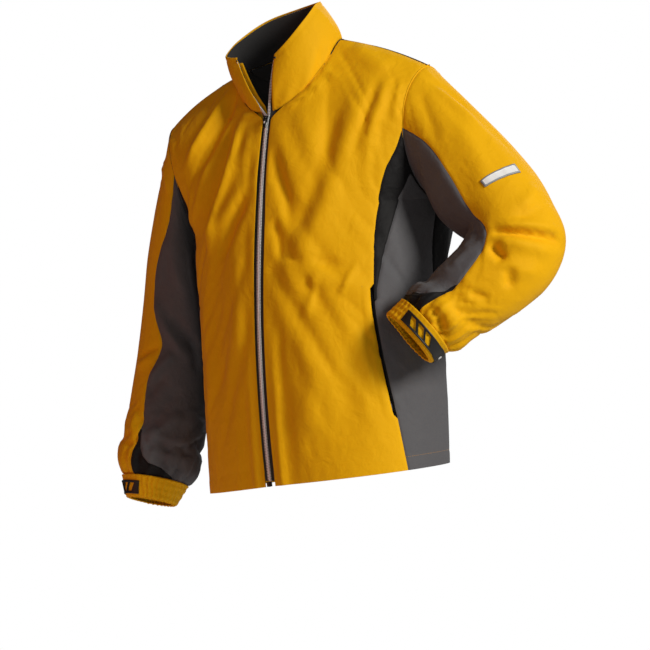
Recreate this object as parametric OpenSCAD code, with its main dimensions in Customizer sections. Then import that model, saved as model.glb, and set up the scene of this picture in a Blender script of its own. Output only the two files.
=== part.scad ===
// A zipped rain shell jacket, held in the shape that it takes on a body, with its parts kept apart.
// The origin is at the nape, on the seat of the hanger loop. The front faces -Y, the wearer's left is +X.

/* [Body] */
// Length from the nape down to the hem, along Z
body_length = 715; // [700:5:730]
// Depth of the armpits below the nape
armpit_depth = 285; // [280:5:290]
// Half of the width across the chest
half_chest = 212; // [206:2:216]
// Half of the width across the hem
half_hem = 222; // [218:2:226]
// Thickness of every fabric layer
cloth = 1.6; // [1.4:0.1:1.8]
// Height of the raised stretch of the collar, at the nape
collar_height = 72; // [64:2:78]

/* [Zip] */
// Radius of the arc that the closed front zip follows
zip_radius = 1780; // [1780:1:1790]
// Width of one half of the zip's chain
chain_width = 3.2; // [2.8:0.1:3.4]
// Depth of the zip's slider below the nape
slider_depth = 119; // [117:1:122]

/* [Sleeves] */
// Length of the elastic cuff, as a share of the sleeve's length
cuff_share = 0.065; // [0.06:0.005:0.07]

/* [Hidden] */

yellow = "#dca500";
grey = "#58585a";
black = "#141414";
silver = "#b8bcc0";

// Each list of keys is [place, value], and a smooth curve runs through the values.
hem = -body_length;
pit = -armpit_depth;
zip_cy = 1543.8 + (zip_radius - 1780);
zip_cz = -676.6;
// Half width, side line, back line and slopes of the body, by height
width_keys = [[hem, half_hem], [-615, 219], [-465, 214], [-325, half_chest + 4], [pit, half_chest]];
side_keys = [[hem, -82], [-615, -72], [-465, -62], [-325, -32], [pit, -20]];
back_keys = [[hem, 62], [-615, 80], [-465, 88], [-325, 128], [pit, 132]];
tilt_keys = [[hem, 0.05], [pit, 0.06]];
twist_keys = [[hem, 0], [-465, 0.03], [pit, 0.17]];
roundness = 2 / 2.2;
// Neck, shoulders, elbows and wrists: index 0 is the wearer's right, 1 is the wearer's left
neck_front = [0, zip_y(-107), -107];
nape = [0, 7, 0];
neck_side = [[-88, -82, -26], [86, -42, 4]];
shoulder_tip = [[-230, -102, -94], [224, 10, -58]];
elbow = [[-284, -88, -450], [386, 5, -358]];
wrist = [[-312, -184, -735], [242, -150, -500]];
back_half = [84, 76];
inward = [22, 8];
shoulder_rise = [10, 6];
bend_reach = [110, 100];
neck_share = 0.36;
// Half depth, outer and inner reach of each sleeve along its length
depth_keys = [[[0, 92], [0.2, 82], [0.45, 74], [0.7, 70], [0.86, 72], [0.93, 56], [1, 40]],
              [[0, 92], [0.2, 84], [0.5, 80], [0.7, 66], [0.86, 55], [0.93, 46], [1, 36]]];
outer_keys = [[[0, 98], [0.2, 92], [0.45, 84], [0.7, 72], [0.86, 70], [0.93, 56], [1, 38]],
              [[0, 92], [0.25, 84], [0.42, 80], [0.5, 92], [0.58, 90], [0.75, 77], [0.88, 64],
               [0.95, 52], [1, 50]]];
inner_keys = [[[0, 92], [0.2, 82], [0.45, 76], [0.7, 72], [0.86, 72], [0.93, 56], [1, 38]],
              [[0, 92], [0.25, 84], [0.4, 72], [0.5, 62], [0.6, 66], [0.75, 62], [0.88, 56],
               [0.95, 52], [1, 52]]];
// Seams of the body, as shares round the front or the back half, by height share
front_seam = [[-1, 0.78], [-0.76, 0.72], [-0.53, 0.665], [-0.3, 0.61], [-0.07, 0.585], [0.1, 0.65],
              [0.25, 0.76], [0.4, 0.93], [0.52, 1.02]];
insert_line = [[-0.38, 0.63], [-0.2, 0.655], [-0.05, 0.7], [0.04, 0.75], [0.2, 0.91], [0.28, 1.01]];
back_seam = [[-1, 1.4], [-0.5, 1.45], [-0.1, 1.42], [0.15, 1.32], [0.3, 1.16], [0.46, 0.98]];
back_insert_line = [[-0.62, 1.4], [-0.4, 1.12], [-0.2, 1.0], [0, 0.985]];
insert_low = -0.38;
back_insert_low = -0.62;
// Seams of the sleeves, as angles round the sleeve, by length share
sleeve_front = [[[0, 172], [0.12, 178], [0.3, 170], [0.42, 177], [0.52, 194], [0.65, 180], [0.8, 184],
                 [0.93, 176]],
                [[0, 176], [0.12, 166], [0.24, 171], [0.36, 183], [0.48, 184], [0.6, 158], [0.72, 144],
                 [0.82, 138], [0.93, 146]]];
sleeve_back = [[0, 6], [0.3, -8], [0.65, 4], [0.93, -2]];
wedge_keys = [[0.8, 3], [0.86, 10], [0.89, 24], [0.91, 50], [0.93, 75]];
cuff_start = 1 - cuff_share;
wedge_start = 0.8;
// Top edge of the collar from the right front corner (-1) over the nape (0) to the left one (1)
collar_x = [[-1, -58], [-0.85, -82], [-0.7, -97], [-0.5, -93], [-0.25, -64], [0, -10], [0.25, 42],
            [0.5, 66], [0.7, 60], [0.85, 40], [1, 10]];
collar_y = [[-1, -133], [-0.85, -128], [-0.7, -113], [-0.5, -88], [-0.25, -42], [0, -16], [0.25, -28],
            [0.5, -68], [0.7, -102], [0.85, -124], [1, -134]];
collar_z = [[-1, -8], [-0.85, -4], [-0.7, 4], [-0.5, 28], [-0.25, collar_height - 14], [0, collar_height],
            [0.25, collar_height + 2], [0.5, 62], [0.7, 34], [0.85, 4], [1, -20]];
// The pocket's mouth is a slit in the seam between the front panel and the side panel
pocket_top = -0.32;
pocket_low = -0.8;
slit = 0.036;
mouth_q = function(h) keyed(front_seam, h) - 0.018;
loop_w = 56;
// Clear distances
seam_gap = 0.0035;
angle_gap = 0.8;
end_gap = 0.004;
front_edge = 7.5;
chain_gap = 0.55;
sleeve_rest = 6;

function lerp(a, b, t) = a + (b - a) * t;
function clamp(x, low, high) = max(low, min(high, x));
function unit(v) = v / norm(v);
function spow(c, p) = pow(abs(c), p) * (c >= 0 ? 1 : -1);
function spot(keys, x, n = 0) = n >= len(keys) - 2 || x <= keys[n + 1][0] ? n : spot(keys, x, n + 1);
function slope(keys, n) =
    let(low = max(0, n - 1), high = min(len(keys) - 1, n + 1))
    (keys[high][1] - keys[low][1]) / (keys[high][0] - keys[low][0]);
function keyed(keys, place) =
    let(x = clamp(place, keys[0][0], keys[len(keys) - 1][0]), n = spot(keys, x),
        h = keys[n + 1][0] - keys[n][0], t = (x - keys[n][0]) / h)
    (2 * t * t * t - 3 * t * t + 1) * keys[n][1] + (t * t * t - 2 * t * t + t) * h * slope(keys, n)
    + (3 * t * t - 2 * t * t * t) * keys[n + 1][1] + (t * t * t - t * t) * h * slope(keys, n + 1);
function which(side) = side > 0 ? 1 : 0;
function zip_y(z) = zip_cy - sqrt(zip_radius * zip_radius - (z - zip_cz) * (z - zip_cz));

// A point on the body below the armpits: phi is 0 at the front, 90 at the wearer's left, 180 at the back
function ring(phi, z) =
    let(s = sin(phi), c = cos(phi), y_side = keyed(side_keys, z),
        x = keyed(width_keys, z) * spow(s, roundness),
        reach = c > 0 ? y_side - zip_y(z) : keyed(back_keys, z) - y_side)
    [x, y_side - reach * spow(c, roundness) + x * keyed(twist_keys, z), z + keyed(tilt_keys, z) * x];
function pit_point(side) = ring(90 * side, pit);
function hole_mid(side) = (shoulder_tip[which(side)] + pit_point(side)) / 2;
// The armhole: -90 at the armpit, 0 at the back, 90 at the shoulder tip, 180 at the front
function armhole(side, a) =
    let(half = (shoulder_tip[which(side)] - pit_point(side)) / 2)
    hole_mid(side) + half * sin(a)
    + [-inward[which(side)] * side * cos(a) * cos(a), back_half[which(side)] * cos(a), 0];
function shoulder_line(side, face, u) =
    let(k = which(side), centre = face > 0 ? neck_front : nape, a = 90 * u / neck_share,
        t = (u - neck_share) / (1 - neck_share))
    u <= neck_share
    ? [neck_side[k][0] * sin(a), lerp(neck_side[k][1], centre[1], cos(a)),
       lerp(neck_side[k][2], centre[2], cos(a))]
    : lerp(neck_side[k], shoulder_tip[k], t) + [0, 0, shoulder_rise[k] * sin(180 * t)];
function centre_line(face, v) =
    let(z = lerp(pit, -107, v))
    face > 0 ? [0, zip_y(z), z]
    : [0, keyed(back_keys, pit) * (1 - pow(v, 2.2)) + 22 * sin(180 * v) * v + nape[1] * v, lerp(pit, 0, v)];
// A point between the armpit row (v = 0) and the shoulder line (v = 1): a blend of the four edges
function yoke(side, face, u, v) =
    let(low = ring((face > 0 ? 90 * u : 180 - 90 * u) * side, pit), high = shoulder_line(side, face, u),
        inner = centre_line(face, v),
        outer = armhole(side, face > 0 ? lerp(270, 90, v) : lerp(-90, 90, v)),
        low_in = ring((face > 0 ? 0 : 180) * side, pit), low_out = ring(90 * side, pit),
        high_in = shoulder_line(side, face, 0), high_out = shoulder_line(side, face, 1))
    (1 - v) * low + v * high + (1 - u) * inner + u * outer
    - ((1 - u) * (1 - v) * low_in + u * (1 - v) * low_out + (1 - u) * v * high_in + u * v * high_out);
// The whole body: q is 0 at the zip, 1 at the side, 2 at the middle of the back; h is -1 at the hem,
// 0 at the armpit, 1 at the shoulder
function body(side, q, h) =
    h < 0 ? ring(90 * q * side, lerp(pit, hem, -h))
    : q <= 1 ? yoke(side, 1, q, h) : yoke(side, -1, 2 - q, h);

function sleeve_start(side) = hole_mid(side) + [-8 * side, 0, 0];
function straight(side, s) =
    let(k = which(side), a = sleeve_start(side), e = elbow[k], w = wrist[k], upper = norm(e - a),
        fore = norm(w - e), r = bend_reach[k], d = s * (upper + fore), t = (d - upper + r) / (2 * r))
    d < upper - r ? a + (e - a) / upper * d
    : d > upper + r ? e + (w - e) / fore * (d - upper)
    : (1 - t) * (1 - t) * (e - (e - a) / upper * r) + 2 * t * (1 - t) * e + t * t * (e + (w - e) / fore * r);
function heading(side, s) = unit(straight(side, min(1, s + 0.01)) - straight(side, max(0, s - 0.01)));
function bend_axis(side) =
    let(k = which(side), a = sleeve_start(side)) unit(cross(elbow[k] - a, wrist[k] - elbow[k]));
// Half the width of the body at the height and depth of the point p
function body_side(side, p) =
    let(z = p[2] - keyed(tilt_keys, p[2]) * p[0], line = keyed(side_keys, z), wide = keyed(width_keys, z),
        y = p[1] - line - side * wide * keyed(twist_keys, z),
        reach = y < 0 ? line - zip_y(z) : keyed(back_keys, z) - line)
    wide * pow(max(0, 1 - pow(abs(y) / reach, 2 / roundness)), roundness / 2);
// Moves a point of a sleeve out from the body, so that the sleeve rests beside it
function beside_body(side, p, s) =
    let(out = side * p[0], low = clamp((pit - p[2]) / 12, 0, 1),
        limit = body_side(side, p) + sleeve_rest * min(1, s / 0.05) - 60 * (1 - low))
    [side * (out + limit + sqrt((out - limit) * (out - limit) + 36)) / 2, p[1], p[2]];
// A point on the sleeve: a goes round as in the armhole, s is 0 at the armhole and 1 at the wrist
function sleeve(side, a, s) = beside_body(side, free_sleeve(side, a, s), s);
function free_sleeve(side, a, s) =
    let(k = which(side), centre = straight(side, s), n = bend_axis(side), d0 = heading(side, 0),
        turn = cross(n, d0) * (wrist[k] - elbow[k]) > 0 ? -1 : 1,
        out = cross(n, heading(side, s)) * turn, out0 = cross(n, d0) * turn,
        up_raw = unit(cross([0, 1, 0], d0)),
        up = up_raw * (shoulder_tip[k] - pit_point(side)) > 0 ? up_raw : -up_raw,
        back_raw = unit(cross(up, d0)), back = back_raw[1] > 0 ? back_raw : -back_raw,
        v = back * cos(a) + up * sin(a), vn = v * n, vo = v * out0,
        reach = keyed(vo > 0 ? outer_keys[k] : inner_keys[k], s),
        tube = centre + n * vn * keyed(depth_keys[k], s) + out * vo * reach,
        w = max(0, 1 - s / 0.3))
    lerp(tube, centre + armhole(side, a) - sleeve_start(side), w * w * (3 - 2 * w));
function neck_line(g) =
    let(side = g < 0 ? -1 : 1, t = abs(g))
    t < 0.5 ? shoulder_line(side, -1, neck_share * t / 0.5)
    : shoulder_line(side, 1, neck_share * (1 - t) / 0.5);
// A point on the collar: g as in its top edge, h is 0 at the neck seam and 1 at the top
function collar(g, h) =
    let(low = neck_line(g), high = [keyed(collar_x, g), keyed(collar_y, g), keyed(collar_z, g)],
        out = unit([low[0], low[1] + 62, 0]))
    lerp(low, high, h) + out * 5 * sin(180 * h);

function normals(p, turn) =
    [for (i = [0 : len(p) - 1]) [for (j = [0 : len(p[0]) - 1])
        let(last_i = len(p) - 1, last_j = len(p[0]) - 1,
            along = p[i][min(last_j, j + 1)] - p[i][max(0, j - 1)],
            up = p[min(last_i, i + 1)][j] - p[max(0, i - 1)][j])
        turn * unit(cross(along, up))]];
function ring_normals(p, turn) =
    [for (i = [0 : len(p) - 1]) [for (j = [0 : len(p[0]) - 1])
        let(last_i = len(p) - 1, count = len(p[0]),
            along = p[i][(j + 1) % count] - p[i][(j + count - 1) % count],
            up = p[min(last_i, i + 1)][j] - p[max(0, i - 1)][j])
        turn * unit(cross(along, up))]];
function flat_list(rows) = [for (row = rows) for (item = row) item];
function two_triangles(f, turn) =
    turn > 0 ? [[f[0], f[1], f[2]], [f[0], f[2], f[3]]] : [[f[2], f[1], f[0]], [f[3], f[2], f[0]]];

// A closed layer of fabric on a grid of points, from the offset bottom to the offset top along its
// normals. turn is 1 where along x up points outwards, and -1 where it points inwards.
module layer(p, turn, bottom, top, closed = false) {
    rows = len(p);
    cols = len(p[0]);
    n = closed ? ring_normals(p, turn) : normals(p, turn);
    skin = flat_list([for (i = [0 : rows - 1]) [for (j = [0 : cols - 1]) p[i][j] + top * n[i][j]]]);
    core = flat_list([for (i = [0 : rows - 1]) [for (j = [0 : cols - 1]) p[i][j] + bottom * n[i][j]]]);
    b = rows * cols;
    spans = closed ? cols - 1 : cols - 2;
    quads = concat(
        [for (i = [0 : rows - 2]) for (j = [0 : spans])
            let(k = (j + 1) % cols) [i * cols + j, (i + 1) * cols + j, (i + 1) * cols + k, i * cols + k]],
        [for (i = [0 : rows - 2]) for (j = [0 : spans])
            let(k = (j + 1) % cols)
            [b + i * cols + j, b + i * cols + k, b + (i + 1) * cols + k, b + (i + 1) * cols + j]],
        [for (j = [0 : spans])
            let(k = (j + 1) % cols) [j, k, b + k, b + j]],
        [for (j = [0 : spans])
            let(k = (j + 1) % cols, r = (rows - 1) * cols) [r + k, r + j, b + r + j, b + r + k]],
        closed ? [] : [for (i = [0 : rows - 2])
            [(i + 1) * cols, i * cols, b + i * cols, b + (i + 1) * cols]],
        closed ? [] : [for (i = [0 : rows - 2])
            let(e = cols - 1)
            [i * cols + e, (i + 1) * cols + e, b + (i + 1) * cols + e, b + i * cols + e]]);
    polyhedron(concat(skin, core), flat_list([for (f = quads) two_triangles(f, turn)]), convexity = 8);
}

function steps(low, high, count) = [for (i = [0 : count]) lerp(low, high, i / count)];
// Rows of the body from h_low to h_high, between two seams that are given as functions of h
function patch(side, heights, count, left, right) =
    [for (h = heights) [for (t = steps(0, 1, count)) body(side, lerp(left(h), right(h), t), h)]];

zip_inset = front_edge / 300;
front_left = function(h) zip_inset + 0.12 * pow(max(0, h - 0.88) / 0.12, 2);
front_right = function(h) min(keyed(front_seam, h), 1) - seam_gap
    - (h > pocket_low - 0.001 && h < pocket_top + 0.001 ? slit : 0);
insert_left = function(h) min(keyed(front_seam, h) + seam_gap, 0.985);
insert_right = function(h) min(max(keyed(insert_line, h), keyed(front_seam, h) + 0.018), 1) - seam_gap;
side_left = function(h) h < insert_low ? keyed(front_seam, h) + seam_gap
    : min(max(keyed(insert_line, h), keyed(front_seam, h) + 0.018) + seam_gap, 0.985);
side_right = function(h) h < back_insert_low ? keyed(back_seam, h) - seam_gap
    : min(keyed(back_insert_line, h), keyed(back_seam, h) - 0.018) - seam_gap;
back_insert_left = function(h) h < 0 ? min(keyed(back_insert_line, h), keyed(back_seam, h) - 0.018)
    + seam_gap : 1.004;
back_insert_right = function(h) max(keyed(back_seam, h) - seam_gap, 1.02);
back_left = function(h) max(keyed(back_seam, h), 1) + seam_gap;

low_rows = [-1, -0.9, -0.815, -0.8, -0.68, -0.56, -0.44, -0.32, -0.305, -0.2, -0.1, -0.03];
high_rows = [0.05, 0.15, 0.27, 0.4, 0.52, 0.7, 0.85, 1 - end_gap];

module front_panel(side) {
    layer(patch(side, concat(low_rows, high_rows), 7, front_left, front_right), side, -cloth, 0);
}

module front_insert(side) {
    rows = concat(steps(insert_low + 0.012, -0.03, 5), [0.05, 0.15, 0.27, 0.4, 0.45]);
    layer(patch(side, rows, 3, insert_left, insert_right), side, -cloth, 0);
}

module side_panel(side) {
    lower = concat(steps(-1, -0.625, 3), steps(back_insert_low + 0.012, -0.03, 6));
    layer(patch(side, lower, 8, side_left, side_right), side, -cloth, 0);
    horn_right = function(h) 1 - seam_gap;
    layer(patch(side, [-0.0299, 0.05, 0.13, 0.2, 0.255], 3, side_left, horn_right), side, -cloth, 0);
}

module back_insert(side) {
    rows = concat(steps(back_insert_low + 0.012, -0.03, 6), [0.05, 0.15, 0.25, 0.34, 0.42]);
    layer(patch(side, rows, 4, back_insert_left, back_insert_right), side, -cloth, 0);
}

module back_panel() {
    rows = concat(low_rows, [0.1, 0.2, 0.32, 0.44, 0.56, 0.7, 0.85, 1 - end_gap]);
    half = function(side, h, count) [for (t = steps(0, 1, count)) body(side, lerp(2, back_left(h), t), h)];
    grid = [for (h = rows)
        let(right = half(-1, h, 7), left = half(1, h, 7))
        concat([for (j = [7 : -1 : 1]) right[j]], left)];
    layer(grid, -1, -cloth, 0);
}

// A doubled strip of fabric inside the hem
module hem_facing(side) {
    rows = steps(-0.995, -0.95, 1);
    low = function(h) zip_inset + 0.045;
    high = function(h) 1.98;
    layer(patch(side, rows, 16, low, high), side, -2 * cloth - 2.6, -cloth - 2.6);
}

module collar_layer(bottom, top, low, high, reach) {
    grid = [for (h = steps(low, high, 4)) [for (g = steps(-reach, reach, 20)) collar(g, h)]];
    layer(grid, -1, bottom, top);
}
module collar_outer() { collar_layer(-cloth, 0, 0.03, 1, 0.935); }
module collar_lining() { collar_layer(-2 * cloth - 1.3, -cloth - 1.3, 0.05, 0.985, 0.89); }

// The half-moon of lining below the collar, on the inside of the back
module back_neck_facing() {
    half = function(side, h) [for (t = steps(0, 1, 5)) body(side, 2 - 0.3 * t, h)];
    grid = [for (h = [0.82, 0.9, 0.97])
        let(right = half(-1, h), left = half(1, h))
        concat([for (j = [5 : -1 : 1]) right[j]], left)];
    layer(grid, -1, -cloth - 6, -6);
}

// The parted zip edge: t is 0 at the slider and 1 at the top of the collar
function chain_path(side, t) =
    let(z = -slider_depth + slider_h / 2 + 2, high = collar(side, 0.97))
    lerp([side > 0 ? 0.4 : -1.6, zip_y(z), z], high, t);
// Points along the whole chain, from above the box, and the direction across it
chain_foot = hem + 9;
closed_steps = 24;
open_steps = 7;
function chain_points(side) = concat(
    [for (z = steps(chain_foot, -slider_depth, closed_steps)) [0, zip_y(z), z]],
    [for (t = steps(0, 1, open_steps)) chain_path(side, t)]);
function across(side, i) =
    i <= closed_steps ? [side, 0, 0]
    : let(t = (i - closed_steps - 1) / open_steps, open_way = side > 0 ? [0.9, 0.3, 0] : [-0.75, 0.5, 0.1])
      unit(lerp([side, 0, 0], open_way, t));
// The tape starts behind the teeth; q is its place round the body and h its height
tape_from = chain_width + 1.9;
tape_q = [0.0095, 0.033];
tape_foot = -0.985;
tape_top = 0.925;
v_tape_width = 11;
module zip_teeth(side) {
    points = chain_points(side);
    grid = [for (i = [0 : len(points) - 1]) [for (w = [chain_gap, chain_width]) points[i] + across(side, i) * w]];
    layer(grid, side, -1.3, 1.3);
}
module zip_tape(side) {
    low = [for (h = steps(tape_foot, tape_top, closed_steps)) [for (q = tape_q) body(side, q, h)]];
    high = [for (i = [1 : open_steps])
        let(p = chain_path(side, i / open_steps), w = across(side, closed_steps + 1 + i))
        [p + w * tape_from, p + w * v_tape_width]];
    layer(concat(low, high), side, -2 * cloth - 0.8, -2 * cloth);
}
module top_stop(side) {
    top = chain_path(side, 1);
    translate(top + [side * 2.2, 0, 2.2]) cube([4, 3.6, 3.4], center = true);
}
module zip_pin() { translate([2.4, zip_y(hem) - 0.2, hem + 4.6]) cube([1.8, 3.4, 8], center = true); }
module zip_box() {
    translate([-2.4, zip_y(hem) - 0.2, hem + 4]) difference() {
        cube([6.5, 6, 8], center = true);
        translate([1.2, 0, 1.6]) cube([5.2, 3.4, 8], center = true);
    }
}

// The slider straddles the chain: two plates joined by a post above the parting teeth
slider_w = 8.4;
slider_h = 11;
plate = 1.5;
plate_gap = 1.75;
function slider_frame(z) = [0, zip_y(z), z];
slider_lean = -asin((-slider_depth - zip_cz) / zip_radius);
module at_slider() {
    translate(slider_frame(-slider_depth)) rotate([slider_lean, 0, 0]) children();
}
pull_drop = 18;
pull_pin = [0, -plate_gap - plate - 2, 1.4];
module zip_slider() {
    at_slider() {
        translate([-slider_w / 2, -plate_gap - plate, -slider_h / 2]) cube([slider_w, plate, slider_h]);
        translate([-slider_w / 2, plate_gap, -slider_h / 2]) cube([slider_w, plate - 0.5, slider_h]);
        translate([-0.25, -plate_gap, slider_h / 2 - 1.6]) cube([0.5, 2 * plate_gap, 1.6]);
        // The bail on the front plate
        difference() {
            for (x = [-3, 1.6])
                translate([x, -plate_gap - plate - 4.2, -0.6]) cube([1.4, 4.2, 4.6]);
            translate(pull_pin) rotate([0, 90, 0]) cylinder(h = 8, r = 1.1, center = true, $fn = 24);
        }
        translate([-3, -plate_gap - plate - 4.2, 3]) cube([6, 1, 1]);
    }
}
module zip_pull() {
    at_slider() {
        translate(pull_pin) {
            rotate([0, 90, 0]) cylinder(h = 5.2, r = 0.7, center = true, $fn = 24);
            translate([-1.1, -0.7, -5]) cube([2.2, 1.4, 5]);
            translate([-3.2, -1, -pull_drop]) cube([6.4, 2, pull_drop - 4.5]);
        }
    }
}

// The inner storm flap lies behind the zip, on the wearer's right
module storm_flap() {
    rows = steps(-0.985, -0.03, 8);
    body_rows = [for (h = rows) [for (q = [0.005, 0.06]) body(-1, q, h)]];
    high = [for (h = [0.12, 0.3, 0.5, 0.7, 0.85, 0.93]) [for (q = [0.005, 0.06]) body(-1, q, h)]];
    neck = [for (t = [0.1, 0.45, 0.9]) [collar(-0.93, t) + [13, 4, 0], collar(-0.87, t) + [0, 4, 0]]];
    layer(concat(body_rows, high, neck), -1, -3 * cloth - 4, -2 * cloth - 4);
}

// The bag is a flat pouch behind the front panel, open at the pocket's mouth
module pocket_bag(side) {
    from = 0.16;
    low = function(h) from;
    high = function(h) mouth_q(h) - 0.03;
    core_low = function(h) from + 0.008;
    core_high = function(h) mouth_q(h) + 0.01;
    difference() {
        layer(patch(side, steps(pocket_low - 0.12, pocket_top + 0.03, 5), 6, low, high), side, -20, -6);
        layer(patch(side, steps(pocket_low - 0.1, pocket_top + 0.01, 5), 6, core_low, core_high), side,
              -18.4, -7.6);
    }
}
function mouth_point(side, h) = body(side, mouth_q(h), h);
function mouth_low(side) = mouth_point(side, pocket_low + 0.006);
function mouth_high(side) = mouth_point(side, pocket_top - 0.006);
mouth_h = function(side) norm(mouth_high(side) - mouth_low(side));
// Places a shape with its Z along the pocket's mouth and its -Y outwards
module at_mouth(side, along, depth) {
    a = mouth_low(side);
    z = unit(mouth_high(side) - a);
    out0 = [side * sin(62), -cos(62), 0];
    out = unit(out0 - z * (out0 * z));
    x = cross(-out, z);
    place = a + z * along - out * depth;
    multmatrix([[x[0], -out[0], z[0], place[0]], [x[1], -out[1], z[1], place[1]],
                [x[2], -out[2], z[2], place[2]], [0, 0, 0, 1]]) children();
}
zip_depth = 11;
module pocket_zip(side) {
    at_mouth(side, 0, zip_depth) {
        translate([-6, 0.6, 0]) cube([12, 0.8, mouth_h(side)]);
        translate([-1.6, -0.6, 0]) cube([3.2, 1.2, mouth_h(side)]);
    }
}
// The left pocket is open and its slider is at the bottom; the right one is closed
function pocket_slider_at(side) = side > 0 ? 20 : mouth_h(side) - 12;
module pocket_slider(side) {
    at_mouth(side, pocket_slider_at(side), zip_depth) {
        translate([-3, -2.4, -4]) cube([6, 1.2, 8]);
        difference() {
            for (x = [-1.6, 0.8])
                translate([x, -4.8, -1]) cube([0.8, 2.4, 2.4]);
            translate([0, -3.9, 0.2]) rotate([0, 90, 0]) cylinder(h = 6, r = 0.8, center = true, $fn = 24);
        }
    }
}
module pocket_pull(side) {
    at_mouth(side, pocket_slider_at(side), zip_depth) {
        translate([0, -3.9, 0.2]) {
            rotate([0, 90, 0]) cylinder(h = 3, r = 0.45, center = true, $fn = 24);
            translate([-0.6, -0.5, -3]) cube([1.2, 1, 3]);
            translate([-2, -0.6, -16]) cube([4, 1.2, 13.4]);
        }
    }
}
// The welt backs the front panel's edge along the pocket
module pocket_welt(side) {
    low = function(h) mouth_q(h) - 0.06;
    high = function(h) mouth_q(h) - 0.024;
    layer(patch(side, steps(pocket_low, pocket_top, 4), 2, low, high), side, -2 * cloth - 1, -cloth - 1);
}

module hanger_loop() {
    difference() {
        translate([-loop_w / 2, -5.2, 0]) cube([loop_w, 6, 7]);
        translate([-loop_w / 2 + 4, -4, -1]) cube([loop_w - 8, 6, 9]);
    }
}

// Sleeve panels run between two seams, from the armhole to the cuff
sleeve_rows = concat([0.014, 0.06, 0.12, 0.2, 0.29], steps(0.36, 0.62, 5),
                     [0.7, 0.79, 0.81, 0.85, 0.88, 0.9, 0.915, 0.93]);
module sleeve_patch(side, rows, count, left, right) {
    grid = [for (s = rows) [for (t = steps(0, 1, count)) sleeve(side, lerp(left(s), right(s), t), s)]];
    layer(grid, side, -cloth, 0);
}
module sleeve_top(side) {
    k = which(side);
    low = function(s) keyed(sleeve_back, s) + angle_gap;
    high = function(s) keyed(sleeve_front[k], s) - angle_gap;
    sleeve_patch(side, sleeve_rows, 10, low, high);
}
module sleeve_under(side) {
    k = which(side);
    low = function(s) keyed(sleeve_front[k], s) + angle_gap
        + (s < wedge_start ? 0 : keyed(wedge_keys, s) + 2 * angle_gap);
    high = function(s) 360 + keyed(sleeve_back, s) - angle_gap;
    sleeve_patch(side, sleeve_rows, 10, low, high);
}
module sleeve_wedge(side) {
    k = which(side);
    low = function(s) keyed(sleeve_front[k], s) + angle_gap;
    high = function(s) keyed(sleeve_front[k], s) - 0.2 * angle_gap + keyed(wedge_keys, s);
    sleeve_patch(side, [0.81, 0.85, 0.88, 0.9, 0.915, 0.93], 4, low, high);
}
module sleeve_tube(side, low, high, bottom, top) {
    grid = [for (s = steps(low, high, 2)) [for (a = [-90 : 15 : 269]) sleeve(side, a, s)]];
    layer(grid, side, bottom, top, closed = true);
}
module cuff(side) { sleeve_tube(side, cuff_start, 1, -2.6, 0); }

// The tab lies over the cuff: from its sewn end it runs forward round the wrist to its grip
tab_share = [0.952, 0.988];
tab_start = [190, 160];
tab_end = [60, 15];
module cuff_tab(side) {
    k = which(side);
    grid = [for (s = tab_share) [for (a = steps(tab_start[k], tab_end[k], 12)) sleeve(side, a, s)]];
    layer(grid, -side, 3.4, 5.2);
}
module loop_patch(side) {
    k = which(side);
    grid = [for (s = [0.955, 0.985]) [for (t = steps(0.08, 0.95, 10))
        sleeve(side, lerp(tab_start[k], tab_end[k], t), s)]];
    layer(grid, -side, 1, 2.2);
}
module sleeve_badge() {
    grid = [for (s = [0.33, 0.36]) [for (a = steps(152, 104, 4)) sleeve(1, a, s)]];
    layer(grid, -1, 0.9, 1.9);
}

color(yellow) front_panel(1);  // left_front_panel
color(yellow) front_panel(-1);  // right_front_panel
color(yellow) back_panel();
color(grey) side_panel(1);  // left_side_panel
color(grey) side_panel(-1);  // right_side_panel
color(black) front_insert(1);  // left_front_insert
color(black) front_insert(-1);  // right_front_insert
color(black) back_insert(1);  // left_back_insert
color(black) back_insert(-1);  // right_back_insert
color(yellow) hem_facing(1);  // left_hem_facing
color(yellow) hem_facing(-1);  // right_hem_facing
color(yellow) collar_outer();
color(black) collar_lining();
color(black) back_neck_facing();
color(yellow) storm_flap();
color(black) zip_tape(1);  // left_zip_tape
color(black) zip_tape(-1);  // right_zip_tape
color(silver) zip_teeth(1);  // left_zip_teeth
color(silver) zip_teeth(-1);  // right_zip_teeth
color(silver) top_stop(1);  // left_top_stop
color(silver) top_stop(-1);  // right_top_stop
color(silver) zip_pin();
color(silver) zip_box();
color(black) zip_slider();
color(black) zip_pull();
color(black) pocket_bag(1);  // left_pocket_bag
color(black) pocket_bag(-1);  // right_pocket_bag
color(black) pocket_zip(1);  // left_pocket_zip
color(black) pocket_zip(-1);  // right_pocket_zip
color(black) pocket_slider(1);  // left_pocket_slider
color(black) pocket_slider(-1);  // right_pocket_slider
color(black) pocket_pull(1);  // left_pocket_pull
color(black) pocket_pull(-1);  // right_pocket_pull
color(yellow) pocket_welt(1);  // left_pocket_welt
color(yellow) pocket_welt(-1);  // right_pocket_welt
color(black) hanger_loop();
color(yellow) sleeve_top(1);  // left_sleeve_top
color(yellow) sleeve_top(-1);  // right_sleeve_top
color(grey) sleeve_under(1);  // left_sleeve_under
color(grey) sleeve_under(-1);  // right_sleeve_under
color(black) sleeve_wedge(1);  // left_sleeve_wedge
color(black) sleeve_wedge(-1);  // right_sleeve_wedge
color(yellow) cuff(1);  // left_cuff
color(yellow) cuff(-1);  // right_cuff
color(black) loop_patch(1);  // left_loop_patch
color(black) loop_patch(-1);  // right_loop_patch
color(black) cuff_tab(1);  // left_cuff_tab
color(black) cuff_tab(-1);  // right_cuff_tab
color("white") sleeve_badge();
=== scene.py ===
"""A zipped rain shell jacket in three colours, held in the shape that it takes on a body.

It is put together here in the order in which such a jacket is sewn: the cloth is draped as one
garment, cut into its panels along the seams, and then gets its zips, cuffs, tabs and badge.
"""

import math

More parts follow.
